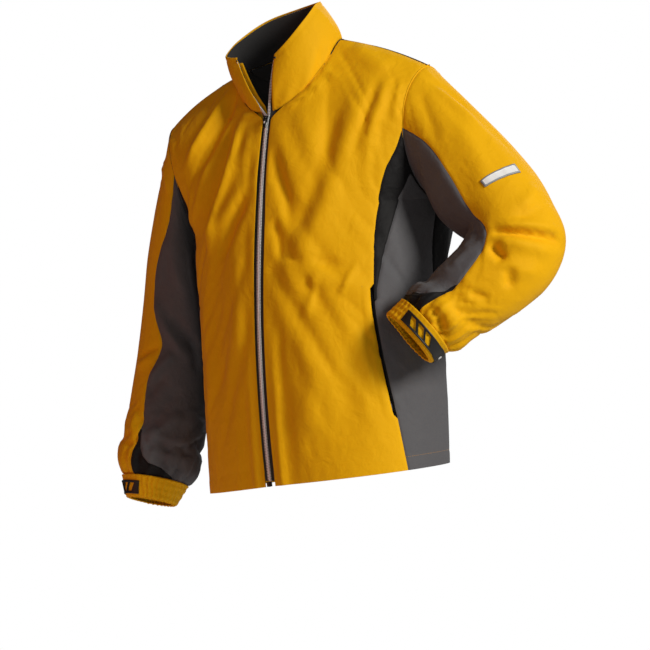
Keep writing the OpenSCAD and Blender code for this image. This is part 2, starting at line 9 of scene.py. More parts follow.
import bmesh
import bpy
import numpy as np
from mathutils import Matrix, Vector
from mathutils.kdtree import KDTree


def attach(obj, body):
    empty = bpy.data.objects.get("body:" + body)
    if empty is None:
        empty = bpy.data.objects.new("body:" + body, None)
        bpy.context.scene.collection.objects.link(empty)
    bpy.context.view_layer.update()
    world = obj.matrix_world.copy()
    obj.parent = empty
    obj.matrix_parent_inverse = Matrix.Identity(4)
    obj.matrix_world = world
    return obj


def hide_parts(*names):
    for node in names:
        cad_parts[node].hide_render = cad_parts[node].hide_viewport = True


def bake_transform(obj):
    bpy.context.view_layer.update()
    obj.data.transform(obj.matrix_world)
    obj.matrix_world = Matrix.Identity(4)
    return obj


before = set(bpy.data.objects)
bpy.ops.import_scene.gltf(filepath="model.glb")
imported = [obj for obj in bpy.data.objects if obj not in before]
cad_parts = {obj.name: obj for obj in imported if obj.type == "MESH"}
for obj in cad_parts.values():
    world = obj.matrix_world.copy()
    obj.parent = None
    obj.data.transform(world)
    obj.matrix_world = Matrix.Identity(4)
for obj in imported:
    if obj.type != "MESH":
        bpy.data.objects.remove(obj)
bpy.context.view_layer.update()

scene = bpy.context.scene

# The studio: a pale floor, a large soft box to the wearer's left, and a camera at chest height
# that looks past the wearer's left shoulder and leans a little.
CAMERA_TURN = math.radians(38)
CAMERA_LEAN = math.radians(6)
CAMERA_DISTANCE = 3.6
LOOK_AT = Vector((0, -0.05, -0.465))


def linear(hex_colour, alpha=1.0):
    """Turns an sRGB hex colour into the linear values that a shader takes."""
    parts = [int(hex_colour[i:i + 2], 16) / 255 for i in (1, 3, 5)]
    return [c / 12.92 if c <= 0.04045 else ((c + 0.055) / 1.055) ** 2.4 for c in parts] + [alpha]


def facing(origin, target, up=Vector((0, 0, 1))):
    """A matrix at origin whose -Z looks at target."""
    back = (origin - target).normalized()
    right = up.cross(back).normalized()
    top = back.cross(right)
    return Matrix.Translation(origin) @ Matrix((right, top, back)).transposed().to_4x4()


def soft_box(name, place, size, power, colour):
    light = bpy.data.lights.new(name, "AREA")
    light.shape = "RECTANGLE"
    light.size, light.size_y = size
    light.energy = power
    light.color = linear(colour)[:3]
    lamp = bpy.data.objects.new(name, light)
    scene.collection.objects.link(lamp)
    lamp.matrix_world = facing(Vector(place), LOOK_AT)
    return lamp


side_step = Vector((math.sin(CAMERA_TURN), -math.cos(CAMERA_TURN), 0))
camera_right = Vector((math.cos(CAMERA_TURN), math.sin(CAMERA_TURN), 0))
camera_up = math.cos(CAMERA_LEAN) * Vector((0, 0, 1)) + math.sin(CAMERA_LEAN) * camera_right
camera_data = bpy.data.cameras.new("camera")
camera_data.sensor_width = 36
camera_data.lens = 118.7
camera = bpy.data.objects.new("camera", camera_data)
scene.collection.objects.link(camera)
camera.matrix_world = facing(LOOK_AT + CAMERA_DISTANCE * side_step, LOOK_AT, camera_up)
scene.camera = camera

up = Vector((0, 0, 1))
soft_box("key", LOOK_AT + 3.6 * camera_right + 3.0 * side_step + 1.9 * up, (1.2, 1.4), 222, "#fffaf2")
soft_box("front", LOOK_AT + 2.6 * side_step - 0.4 * camera_right + 1.0 * up, (1.6, 1.2), 7, "#fff6ea")
soft_box("rim", LOOK_AT - 2.2 * side_step + 1.2 * camera_right + 1.6 * up, (1.2, 1.6), 26, "#ffffff")
soft_box("warm_fill", LOOK_AT - 2.4 * camera_right + 1.0 * side_step, (1.6, 2.0), 11, "#ff7a38")

world = bpy.data.worlds.new("studio")
scene.world = world
world.use_nodes = True
ambient = world.node_tree.nodes["Background"]
ambient.inputs["Color"].default_value = linear("#f4f4f6")
ambient.inputs["Strength"].default_value = 0.07
backdrop = world.node_tree.nodes.new("ShaderNodeBackground")
backdrop.inputs["Color"].default_value = (1, 1, 1, 1)
backdrop.inputs["Strength"].default_value = 1.0
path_kind = world.node_tree.nodes.new("ShaderNodeLightPath")
choose = world.node_tree.nodes.new("ShaderNodeMixShader")
world.node_tree.links.new(path_kind.outputs["Is Camera Ray"], choose.inputs["Fac"])
world.node_tree.links.new(ambient.outputs[0], choose.inputs[1])
world.node_tree.links.new(backdrop.outputs[0], choose.inputs[2])
world.node_tree.links.new(choose.outputs[0], world.node_tree.nodes["World Output"].inputs["Surface"])
scene.view_settings.view_transform = "Standard"


def node(tree, kind, settings=None, links=None, **attributes):
    """Adds a shader node, sets its inputs and attributes, and links the outputs that feed it."""
    made = tree.nodes.new(kind)
    for name, value in attributes.items():
        setattr(made, name, value)
    for name, value in (settings or {}).items():
        made.inputs[name].default_value = value
    for name, source in (links or {}).items():
        tree.links.new(source, made.inputs[name])
    return made


def blank_material(name):
    """A new material with its Principled shader."""
    material = bpy.data.materials.new(name)
    material.use_nodes = True
    return material, material.node_tree, material.node_tree.nodes["Principled BSDF"]


floor_material, floor_tree, floor_shader = blank_material("pale_matt_paint")
floor_grain = node(floor_tree, "ShaderNodeTexNoise", {"Scale": 3.0, "Detail": 4.0})
floor_tone = node(floor_tree, "ShaderNodeMix", {"A": linear("#f2f2f2"), "B": linear("#ececec")},
                  {"Factor": floor_grain.outputs["Fac"]}, data_type="RGBA")
floor_tree.links.new(floor_tone.outputs["Result"], floor_shader.inputs["Base Color"])
floor_shader.inputs["Roughness"].default_value = 0.8
FLOOR_HALF = 1.6
FLOOR_Z = -1.4
floor_mesh = bpy.data.meshes.new("floor")
floor_mesh.from_pydata([(x * FLOOR_HALF, y * FLOOR_HALF, 0) for x, y in ((-1, -1), (1, -1), (1, 1), (-1, 1))],
                       [], [(0, 1, 2, 3)])
floor_mesh.materials.append(floor_material)
floor = bpy.data.objects.new("floor", floor_mesh)
scene.collection.objects.link(floor)
floor.location = (0, 0, FLOOR_Z)

# The cut of the jacket: the shape of its body and sleeves in millimetres, as the pattern cutter's
# block. The body is measured by q, round from the zip (0) over the side (1) to the middle of the
# back (2), and by h, up from the hem (-1) over the armpit (0) to the shoulder (1).
MM = 0.001
HEM = -715.0
PIT = -285.0
ZIP_RADIUS = 1780.0
ZIP_CENTRE_Y = 1543.8
ZIP_CENTRE_Z = -676.6
NECK_FRONT_Z = -107.0
WIDTH = [[HEM, 222], [-615, 219], [-465, 214], [-325, 216], [PIT, 212]]
SIDE_LINE = [[HEM, -82], [-615, -72], [-465, -62], [-325, -32], [PIT, -20]]
BACK_LINE = [[HEM, 62], [-615, 80], [-465, 88], [-325, 128], [PIT, 132]]
TILT = [[HEM, 0.05], [PIT, 0.06]]
TWIST = [[HEM, 0], [-465, 0.03], [PIT, 0.17]]
ROUNDNESS = 2 / 2.2
NAPE = np.array([0, 7.0, 0])
NECK_SIDE = {-1: np.array([-88, -82, -26.0]), 1: np.array([86, -42, 4.0])}
SHOULDER_TIP = {-1: np.array([-230, -102, -94.0]), 1: np.array([224, 10, -58.0])}
ELBOW = {-1: np.array([-284, -88, -450.0]), 1: np.array([386, 5, -358.0])}
WRIST = {-1: np.array([-312, -184, -735.0]), 1: np.array([242, -150, -500.0])}
BACK_HALF = {-1: 84, 1: 76}
INWARD = {-1: 22, 1: 8}
SHOULDER_RISE = {-1: 10, 1: 6}
BEND_REACH = {-1: 110, 1: 100}
NECK_SHARE = 0.36
SLEEVE_REST = 6
DEPTH = {-1: [[0, 92], [0.2, 82], [0.45, 74], [0.7, 70], [0.86, 72], [0.93, 56], [1, 40]],
         1: [[0, 92], [0.2, 84], [0.5, 80], [0.7, 66], [0.86, 55], [0.93, 46], [1, 36]]}
OUTER = {-1: [[0, 98], [0.2, 92], [0.45, 84], [0.7, 72], [0.86, 70], [0.93, 56], [1, 38]],
         1: [[0, 92], [0.25, 84], [0.42, 80], [0.5, 92], [0.58, 90], [0.75, 77], [0.88, 64], [0.95, 52],
             [1, 50]]}
INNER = {-1: [[0, 92], [0.2, 82], [0.45, 76], [0.7, 72], [0.86, 72], [0.93, 56], [1, 38]],
         1: [[0, 92], [0.25, 84], [0.4, 72], [0.5, 62], [0.6, 66], [0.75, 62], [0.88, 56], [0.95, 52],
             [1, 52]]}


def keyed(keys, x):
    """A smooth curve through the [place, value] keys, level beyond the ends."""
    place, value = np.array(keys, float).T
    x = np.clip(x, place[0], place[-1])
    n = np.clip(np.searchsorted(place, x, side="left") - 1, 0, len(place) - 2)
    inner = (value[2:] - value[:-2]) / (place[2:] - place[:-2])
    ends = (value[1:] - value[:-1]) / (place[1:] - place[:-1])
    slope = np.concatenate([ends[:1], inner, ends[-1:]])
    step = place[n + 1] - place[n]
    t = (x - place[n]) / step
    return ((2 * t ** 3 - 3 * t ** 2 + 1) * value[n] + (t ** 3 - 2 * t ** 2 + t) * step * slope[n]
            + (3 * t ** 2 - 2 * t ** 3) * value[n + 1] + (t ** 3 - t ** 2) * step * slope[n + 1])


def mix(a, b, t):
    return a + (b - a) * t


def signed_power(c, p):
    return np.sign(c) * np.abs(c) ** p


def unit(v):
    return v / np.linalg.norm(v, axis=-1, keepdims=True)


def zip_y(z):
    return ZIP_CENTRE_Y - np.sqrt(ZIP_RADIUS ** 2 - (z - ZIP_CENTRE_Z) ** 2)


def ring(phi, z):
    """The body below the armpits: phi is 0 at the front and 90 at the wearer's left, in degrees."""
    s, c = np.sin(np.radians(phi)), np.cos(np.radians(phi))
    side_y = keyed(SIDE_LINE, z)
    x = keyed(WIDTH, z) * signed_power(s, ROUNDNESS)
    reach = np.where(c > 0, side_y - zip_y(z), keyed(BACK_LINE, z) - side_y)
    y = side_y - reach * signed_power(c, ROUNDNESS) + x * keyed(TWIST, z)
    return np.stack([x, y, z + keyed(TILT, z) * x], -1)


def pit_point(side):
    return ring(np.float64(90.0 * side), np.float64(PIT))


def hole_middle(side):
    return (SHOULDER_TIP[side] + pit_point(side)) / 2


def armhole(side, a):
    """The armhole: a is -90 at the armpit, 0 at the back, 90 at the shoulder tip, 180 at the front."""
    half = (SHOULDER_TIP[side] - pit_point(side)) / 2
    c, s = np.cos(np.radians(a)), np.sin(np.radians(a))
    wide = np.stack([-INWARD[side] * side * c * c, BACK_HALF[side] * c, 0 * c], -1)
    return hole_middle(side) + half * s[..., None] + wide


def shoulder_line(side, face, u):
    near, far = NECK_SIDE[side], SHOULDER_TIP[side]
    centre = np.array([0, zip_y(NECK_FRONT_Z), NECK_FRONT_Z]) if face > 0 else NAPE
    a = np.radians(90 * np.minimum(u, NECK_SHARE) / NECK_SHARE)
    neck = np.stack([near[0] * np.sin(a), mix(near[1], centre[1], np.cos(a)),
                     mix(near[2], centre[2], np.cos(a))], -1)
    t = np.clip((u - NECK_SHARE) / (1 - NECK_SHARE), 0, 1)
    slope = mix(near, far, t[..., None])
    slope[..., 2] += SHOULDER_RISE[side] * np.sin(np.pi * t)
    return np.where((u <= NECK_SHARE)[..., None], neck, slope)


def centre_line(face, v):
    if face > 0:
        z = mix(PIT, NECK_FRONT_Z, v)
        return np.stack([0 * z, zip_y(z), z], -1)
    y = BACK_LINE[-1][1] * (1 - v ** 2.2) + 22 * np.sin(np.pi * v) * v + NAPE[1] * v
    return np.stack([0 * v, y, mix(PIT, 0, v)], -1)


def yoke(side, face, u, v):
    """The body above the armpits, blended from its four edges."""
    v = np.maximum(v, 0)
    low = ring((90 * u if face > 0 else 180 - 90 * u) * side, np.full_like(u, PIT))
    high = shoulder_line(side, face, u)
    inner = centre_line(face, v)
    outer = armhole(side, mix(270, 90, v) if face > 0 else mix(-90, 90, v))
    corners = [ring(np.float64((0 if face > 0 else 180) * side), np.float64(PIT)), pit_point(side),
               shoulder_line(side, face, np.array(0.0)), SHOULDER_TIP[side]]
    u, v = u[..., None], v[..., None]
    return ((1 - v) * low + v * high + (1 - u) * inner + u * outer - (1 - u) * (1 - v) * corners[0]
            - u * (1 - v) * corners[1] - (1 - u) * v * corners[2] - u * v * corners[3])


def body_cut(side, face, u, h):
    """A point of the cut on the front (face 1) or back half: u is 0 at the middle and 1 at the side."""
    low = ring((90 * u if face > 0 else 180 - 90 * u) * side, mix(PIT, HEM, np.clip(-h, 0, 1.1)))
    return np.where((h < 0)[..., None], low, yoke(side, face, u, h))


def sleeve_start(side):
    return hole_middle(side) + np.array([-8.0 * side, 0, 0])


def sleeve_middle(side, s):
    """The sleeve's middle line: two straight legs with a rounded elbow."""
    a, e, w, r = sleeve_start(side), ELBOW[side], WRIST[side], BEND_REACH[side]
    upper, fore = np.linalg.norm(e - a), np.linalg.norm(w - e)
    d = (s * (upper + fore))[..., None]
    before = a + (e - a) / upper * d
    after = e + (w - e) / fore * (d - upper)
    t = np.clip((d - upper + r) / (2 * r), 0, 1)
    bend = (1 - t) ** 2 * (e - (e - a) / upper * r) + 2 * t * (1 - t) * e + t ** 2 * (e + (w - e) / fore * r)
    return np.where(d < upper - r, before, np.where(d > upper + r, after, bend))


def sleeve_heading(side, s):
    return unit(sleeve_middle(side, np.minimum(s + 0.01, 1)) - sleeve_middle(side, np.maximum(s - 0.01, 0)))


def body_side(side, p):
    """Half the width of the body at the height and depth of the points p."""
    z = p[..., 2] - keyed(TILT, p[..., 2]) * p[..., 0]
    line, wide = keyed(SIDE_LINE, z), keyed(WIDTH, z)
    y = p[..., 1] - line - side * wide * keyed(TWIST, z)
    reach = np.where(y < 0, line - zip_y(z), keyed(BACK_LINE, z) - line)
    return wide * np.maximum(0, 1 - (np.abs(y) / reach) ** 2.2) ** (1 / 2.2)


def beside_body(side, p, s):
    """Moves a sleeve's points out from the body, so that the sleeve rests beside it."""
    out = side * p[..., 0]
    low = np.clip((PIT - p[..., 2]) / 12, 0, 1)
    limit = body_side(side, p) + SLEEVE_REST * np.minimum(1, s / 0.05) - 60 * (1 - low)
    moved = p.copy()
    moved[..., 0] = side * (out + limit + np.sqrt((out - limit) ** 2 + 36)) / 2
    return moved


def sleeve_cut(side, a, s):
    """A point of the sleeve's cut: a goes round as in the armhole, s is 0 there and 1 at the wrist."""
    start, e, w = sleeve_start(side), ELBOW[side], WRIST[side]
    middle, heading = sleeve_middle(side, s), sleeve_heading(side, s)
    first = sleeve_heading(side, np.array(0.0))
    n = unit(np.cross(e - start, w - e))
    turn = -1 if np.cross(n, first) @ (w - e) > 0 else 1
    out, out_first = np.cross(n, heading) * turn, np.cross(n, first) * turn
    up = unit(np.cross([0, 1.0, 0], first))
    up = up if up @ (SHOULDER_TIP[side] - pit_point(side)) > 0 else -up
    back = unit(np.cross(up, first))
    back = back if back[1] > 0 else -back
    c, z = np.cos(np.radians(a))[..., None], np.sin(np.radians(a))[..., None]
    v = back * c + up * z
    across, outward = v @ n, v @ out_first
    reach = np.where(outward > 0, keyed(OUTER[side], s), keyed(INNER[side], s))
    tube = middle + n * (across * keyed(DEPTH[side], s))[..., None] + out * (outward * reach)[..., None]
    near = np.clip(1 - s / 0.3, 0, 1)
    near = (near * near * (3 - 2 * near))[..., None]
    return beside_body(side, mix(tube, middle + armhole(side, a) - start, near), s)


# The draped cloth: the whole garment hangs as one light sheet, held softly to its cut and firmly
# along the zip, the neck and the wrists, while the cloth, cut a little too large, buckles.
BODY_ROWS = 44
YOKE_ROWS = 30
HALF_COLUMNS = 30
SLEEVE_ROWS = 60
SLEEVE_COLUMNS = 2 * YOKE_ROWS
SIDES = (1, -1)
FACES = (1, -1)


def half_shares():
    """The rows (h) and columns (u) at which each half of the body is worked out."""
    h = np.concatenate([np.linspace(-1, 0, BODY_ROWS)[:-1], np.linspace(0, 1, YOKE_ROWS + 1)])
    return h, np.linspace(0, 1, HALF_COLUMNS + 1)


def cut_grids():
    """The cut on regular grids: four halves of the body and two sleeves."""
    h, u = half_shares()
    grids = {}
    for side in SIDES:
        for face in FACES:
            hh, uu = np.meshgrid(h, u, indexing="ij")
            grids["body", side, face] = body_cut(side, face, uu, hh)
        ss, aa = np.meshgrid(np.linspace(0, 1, SLEEVE_ROWS + 1),
                             np.linspace(-90, 270, SLEEVE_COLUMNS + 1)[:-1], indexing="ij")
        grids["sleeve", side] = sleeve_cut(side, aa, ss)
    return grids


def welded(grids):
    """The grids' points with shared ones joined, and each grid as an array of point numbers."""
    points = np.concatenate([g.reshape(-1, 3) for g in grids.values()])
    tree = KDTree(len(points))
    for i, p in enumerate(points):
        tree.insert(p, i)
    tree.balance()
    first = np.array([min(i for _, i, _ in tree.find_range(p, 0.2)) for p in points])
    kept, number = np.unique(first, return_inverse=True)
    ids, at = {}, 0
    for name, g in grids.items():
        size = g.shape[0] * g.shape[1]
        ids[name] = number[at:at + size].reshape(g.shape[:2])
        at += size
    return points[kept], ids


def quads(ids, closed=False):
    """The faces of a grid of point numbers."""
    if closed:
        ids = np.concatenate([ids, ids[:, :1]], 1)
    corners = (ids[:-1, :-1], ids[:-1, 1:], ids[1:, 1:], ids[1:, :-1])
    return [tuple(int(c) for c in f) for f in np.stack(corners, -1).reshape(-1, 4) if len(set(f)) == 4]


def draped(points, ids, hold, loose, frames):
    """The garment after it has hung for that many frames."""
    mesh = bpy.data.meshes.new("garment")
    faces = [f for name, grid in ids.items() for f in quads(grid, name[0] == "sleeve")]
    mesh.from_pydata((points * MM).tolist(), [], faces)
    garment = bpy.data.objects.new("garment", mesh)
    scene.collection.objects.link(garment)
    for name, weights in (("hold", hold), ("loose", loose)):
        group = garment.vertex_groups.new(name=name)
        for i, w in enumerate(weights):
            group.add([i], float(w), "REPLACE")
    cloth = garment.modifiers.new("drape", "CLOTH")
    cloth.settings.quality = 5
    cloth.settings.mass = 0.12
    cloth.settings.tension_stiffness = 12
    cloth.settings.compression_stiffness = 12
    cloth.settings.shear_stiffness = 4
    cloth.settings.bending_stiffness = 0.12
    cloth.settings.tension_damping = 8
    cloth.settings.compression_damping = 8
    cloth.settings.air_damping = 2
    cloth.settings.vertex_group_mass = "hold"
    cloth.settings.pin_stiffness = 1.0
    cloth.settings.vertex_group_shrink = "loose"
    cloth.settings.shrink_min = 0
    cloth.settings.shrink_max = -0.05
    cloth.collision_settings.use_collision = False
    cloth.collision_settings.use_self_collision = False
    for frame_number in range(1, frames + 1):
        scene.frame_set(frame_number)
    shape = garment.evaluated_get(bpy.context.evaluated_depsgraph_get()).data
    hung = np.empty(len(points) * 3, np.float32)
    shape.vertices.foreach_get("co", hung)
    bpy.data.objects.remove(garment)
    scene.frame_set(1)
    return hung.reshape(-1, 3).astype(float) / MM


cut = cut_grids()
cut_points, cut_ids = welded(cut)
hold = np.full(len(cut_points), 0.2)
loose = np.full(len(cut_points), 0.35)
for side in SIDES:
    front, back, arm = (cut_ids["body", side, 1], cut_ids["body", side, -1], cut_ids["sleeve", side])
    for face_ids in (front, back):
        hold[face_ids[-3:]] = 0.5
        neck_columns = int(NECK_SHARE * HALF_COLUMNS) + 1
        hold[face_ids[-1, :neck_columns]] = 1
        loose[face_ids[-6:]] = 0.1
    hold[front[:, :2]] = 1
    loose[front[:, :4]] = 0
    hold[arm[-9:]] = 0.6
    hold[arm[-6:]] = 1
    hold[arm[0]] = np.maximum(hold[arm[0]], 0.3)
    loose[arm[4:-4]] = 0.7
    mid = slice(int(0.35 * SLEEVE_ROWS), int(0.65 * SLEEVE_ROWS))
    loose[arm[mid]] = 1.0
    loose[arm[-8:]] = 0
hung_points = draped(cut_points, cut_ids, hold, loose, 22)
hung = {name: hung_points[grid] for name, grid in cut_ids.items()}


def padded(side, face):
    """A half of the hung body with two more rows and columns all round, taken from its neighbours."""
    g = hung["body", side, face]
    across, behind = hung["body", -side, face], hung["body", side, -face]
    outer = np.stack([2 * g[:, -1] - g[:, -2], 3 * g[:, -1] - 2 * g[:, -2]], 1)
    low = slice(0, BODY_ROWS)
    outer[low, 0], outer[low, 1] = behind[low, -2], behind[low, -3]
    g = np.concatenate([across[:, 2:0:-1], g, outer], 1)
    return np.concatenate([3 * g[:1] - 2 * g[1:2], 2 * g[:1] - g[1:2], g, 2 * g[-1:] - g[-2:-1],
                           3 * g[-1:] - 2 * g[-2:-1]], 0)


def wrapped(side):
    """A hung sleeve with two more rows at each end and its columns wrapped round."""
    g = hung["sleeve", side]
    g = np.concatenate([g[:, -2:], g, g[:, :3]], 1)
    return np.concatenate([3 * g[:1] - 2 * g[1:2], 2 * g[:1] - g[1:2], g, 2 * g[-1:] - g[-2:-1],
                           3 * g[-1:] - 2 * g[-2:-1]], 0)


def sampled(grid, row, column):
    """Smooth positions on a padded grid at fractional rows and columns."""
    row, column = np.clip(row, 0, grid.shape[0] - 5.001), np.clip(column, 0, grid.shape[1] - 5.001)
    i, j = np.floor(row).astype(int), np.floor(column).astype(int)
    total = 0
    weights = []
    for t in (row - i, column - j):
        weights.append([(-t ** 3 + 2 * t ** 2 - t) / 2, (3 * t ** 3 - 5 * t ** 2 + 2) / 2,
                        (-3 * t ** 3 + 4 * t ** 2 + t) / 2, (t ** 3 - t ** 2) / 2])
    for m in range(4):
        for n in range(4):
            total = total + (weights[0][m] * weights[1][n])[..., None] * grid[i + m + 1, j + n + 1]
    return total


body_sheets = {(side, face): padded(side, face) for side in SIDES for face in FACES}
sleeve_sheets = {side: wrapped(side) for side in SIDES}


def body_at(side, q, h):
    """The hung body at q (0 zip, 1 side, 2 middle of the back) and h (-1 hem, 0 armpit, 1 shoulder)."""
    q, h = np.broadcast_arrays(np.asarray(q, float), np.asarray(h, float))
    row = np.where(h < 0, (h + 1) * BODY_ROWS, BODY_ROWS + h * YOKE_ROWS)
    front = sampled(body_sheets[side, 1], row, np.minimum(q, 1) * HALF_COLUMNS)
    back = sampled(body_sheets[side, -1], row, (2 - np.maximum(q, 1)) * HALF_COLUMNS)
    return np.where((q <= 1)[..., None], front, back)


def sleeve_at(side, a, s):
    """The hung sleeve at the angle a and the share s of its length."""
    a, s = np.broadcast_arrays(np.asarray(a, float), np.asarray(s, float))
    return sampled(sleeve_sheets[side], s * SLEEVE_ROWS, ((a + 90) % 360) / 360 * SLEEVE_COLUMNS)


# Cloth finishes. The shell is a plain weave of fine yarn with a dry, matt face; each colour is
# the same cloth. The lining is a brushed knit, the tapes a ribbed weave.
def bump_chain(tree, shader, layers):
    """Adds bump layers: each is a height output, its distance in metres and its strength."""
    normal = None
    for height, distance, strength in layers:
        links = {"Height": height} | ({"Normal": normal} if normal else {})
        normal = node(tree, "ShaderNodeBump", {"Distance": distance, "Strength": strength}, links).outputs[0]
    tree.links.new(normal, shader.inputs["Normal"])


def shell_cloth(name, lit, shade, roughness=0.62, sheen=0.12):
    """Matt rain shell: an even dye, yarn grain at 0.35 mm and the crumple of a packed jacket."""
    material, tree, shader = blank_material(name)
    place = node(tree, "ShaderNodeTexCoord").outputs["Object"]
    cloud = node(tree, "ShaderNodeTexNoise", {"Scale": 14, "Detail": 3, "Roughness": 0.55}, {"Vector": place})
    tone = node(tree, "ShaderNodeMix", {"A": linear(lit), "B": linear(shade)},
                {"Factor": cloud.outputs["Fac"]}, data_type="RGBA")
    tree.links.new(tone.outputs["Result"], shader.inputs["Base Color"])
    crumple = node(tree, "ShaderNodeTexNoise",
                   {"Scale": 34, "Detail": 3, "Roughness": 0.5, "Distortion": 0.6}, {"Vector": place})
    small = node(tree, "ShaderNodeTexNoise", {"Scale": 150, "Detail": 2, "Roughness": 0.5}, {"Vector": place})
    yarn = node(tree, "ShaderNodeTexVoronoi", {"Scale": 2800}, {"Vector": place})
    bump_chain(tree, shader, [(crumple.outputs["Fac"], 0.0042, 0.5), (small.outputs["Fac"], 0.0007, 0.45),
                              (yarn.outputs["Distance"], 0.00018, 0.35)])
    shader.inputs["Roughness"].default_value = roughness
    shader.inputs["Specular IOR Level"].default_value = 0.14
    shader.inputs["Sheen Weight"].default_value = sheen
    shader.inputs["Sheen Roughness"].default_value = 0.5
    return material


def knit(name, colour, roughness=0.85, scale=900):
    """A brushed knit or a ribbed tape: black, with fine ribs that keep it off pure black."""
    material, tree, shader = blank_material(name)
    place = node(tree, "ShaderNodeTexCoord").outputs["Object"]
    rib = node(tree, "ShaderNodeTexWave", {"Scale": scale / 6, "Distortion": 1.5, "Detail": 1},
               {"Vector": place}, bands_direction="Z")
    fluff = node(tree, "ShaderNodeTexNoise", {"Scale": scale, "Detail": 2}, {"Vector": place})
    bump_chain(tree, shader, [(rib.outputs["Fac"], 0.0003, 0.4), (fluff.outputs["Fac"], 0.0002, 0.5)])
    shader.inputs["Base Color"].default_value = linear(colour)
    shader.inputs["Roughness"].default_value = roughness
    shader.inputs["Sheen Weight"].default_value = 0.3
    return material


def moulded(name, colour, roughness, metallic=0.0, grain=0.0001):
    """A moulded or cast piece: even colour, with a faint grain that breaks up its highlights."""
    material, tree, shader = blank_material(name)
    place = node(tree, "ShaderNodeTexCoord").outputs["Object"]
    noise = node(tree, "ShaderNodeTexNoise", {"Scale": 700, "Detail": 2}, {"Vector": place})
    bump_chain(tree, shader, [(noise.outputs["Fac"], grain, 0.4)])
    shader.inputs["Base Color"].default_value = linear(colour)
    shader.inputs["Roughness"].default_value = roughness
    shader.inputs["Metallic"].default_value = metallic
    return material


yellow = shell_cloth("yellow_matt_shell", "#efb400", "#e8ac00", 0.7, 0.03)
grey = shell_cloth("grey_matt_shell", "#5e5e61", "#56565a", 0.62, 0.05)
black = shell_cloth("black_matt_shell", "#18181a", "#141415", 0.6, 0.05)
lining = knit("black_brushed_lining", "#161618")
tape_black = knit("black_ribbed_tape", "#141415", 0.75, 1600)
thread_yellow = knit("yellow_sewing_thread", "#b98200", 0.6, 2600)
silver = moulded("silver_metallised_teeth", "#eef0f2", 0.35, 0.15)
black_plastic = moulded("black_acetal", "#121213", 0.4)
black_zinc = moulded("black_lacquered_zinc", "#101011", 0.32, 0.3)
black_rubber = moulded("satin_black_pvc", "#0f0f10", 0.5)
badge_white = moulded("white_soft_badge", "#e9ebed", 0.5)
badge_grey = moulded("grey_badge_rim", "#8d949a", 0.5)


def mesh_piece(name, points, faces, materials, smooth=True):
    """A mesh object from points in millimetres."""
    mesh = bpy.data.meshes.new(name)
    mesh.from_pydata((np.asarray(points) * MM).tolist(), [], faces)
    for material in materials:
        mesh.materials.append(material)
    mesh.polygons.foreach_set("use_smooth", [smooth] * len(mesh.polygons))
    made = bpy.data.objects.new(name, mesh)
    scene.collection.objects.link(made)
    return made


def grid_normals(g, closed=False):
    """Unit normals of a grid of points, along its columns crossed with up its rows."""
    along = (np.roll(g, -1, 1) - np.roll(g, 1, 1)) if closed else np.gradient(g, axis=1)
    return unit(np.cross(along, np.gradient(g, axis=0)) + 1e-9)


def eased(length, fine=(0, 0.6, 1.4, 2.6, 4.2), step=4.6):
    """Places from 0 to 1 along a strip of that length: fine at the edges and even between."""
    near = [f / length for f in fine if f < length / 3]
    count = max(2, int(round((length * (1 - 2 * near[-1])) / step)))
    middle = np.linspace(near[-1], 1 - near[-1], count + 1)
    return np.concatenate([near[:-1], middle, 1 - np.array(near[:-1])[::-1]])


def rise(x, start, end):
    """A smooth step from 0 at start to 1 at end."""
    t = np.clip((x - start) / (end - start), 0, 1)
    return t * t * (3 - 2 * t)


def seam_dip(distance, depth=1.3, width=2.2):
    """How far cloth sinks next to a seam."""
    return -depth * np.exp(-(distance / width) ** 2)


def distances(g):
    """The distance of each grid point from each side, along the rows and along the columns, in mm."""
    across = np.concatenate([0 * g[:, :1, 0], np.cumsum(np.linalg.norm(np.diff(g, axis=1), axis=-1), 1)], 1)
    up = np.concatenate([0 * g[:1, :, 0], np.cumsum(np.linalg.norm(np.diff(g, axis=0), axis=-1), 0)], 0)
    return across, across[:, -1:] - across, up, up[-1:] - up


# Folds that the wearer's pose puts into the cloth. Each runs along a line of places on the cut and
# lifts (or, with a height below 0, sinks) the cloth by a soft ridge of that half width, in mm.
def ridge(points, line, width, height, sharp=1.0):
    """The lift of a ridge along a polyline, as far from its ends as it tapers."""
    line = np.asarray(line, float)
    lengths = np.concatenate([[0], np.cumsum(np.linalg.norm(np.diff(line, axis=0), axis=1))])
    best = np.full(points.shape[:-1], 1e9)
    place = np.zeros(points.shape[:-1])
    for n in range(len(line) - 1):
        a, b = line[n], line[n + 1]
        t = np.clip((points - a) @ (b - a) / ((b - a) @ (b - a)), 0, 1)
        d = np.linalg.norm(points - a - t[..., None] * (b - a), axis=-1)
        nearer = d < best
        best = np.where(nearer, d, best)
        place = np.where(nearer, (lengths[n] + t * (lengths[n + 1] - lengths[n])) / lengths[-1], place)
    taper = rise(place, 0, 0.25) * rise(1 - place, 0, 0.25) * 0.85 + 0.15
    return height * taper * np.exp(-(best / width) ** (2 * sharp))


def on_body(side, places):
    return [body_at(side, q, h) for q, h in places]


def on_sleeve(side, places):
    return [sleeve_at(side, a, s) for a, s in places]


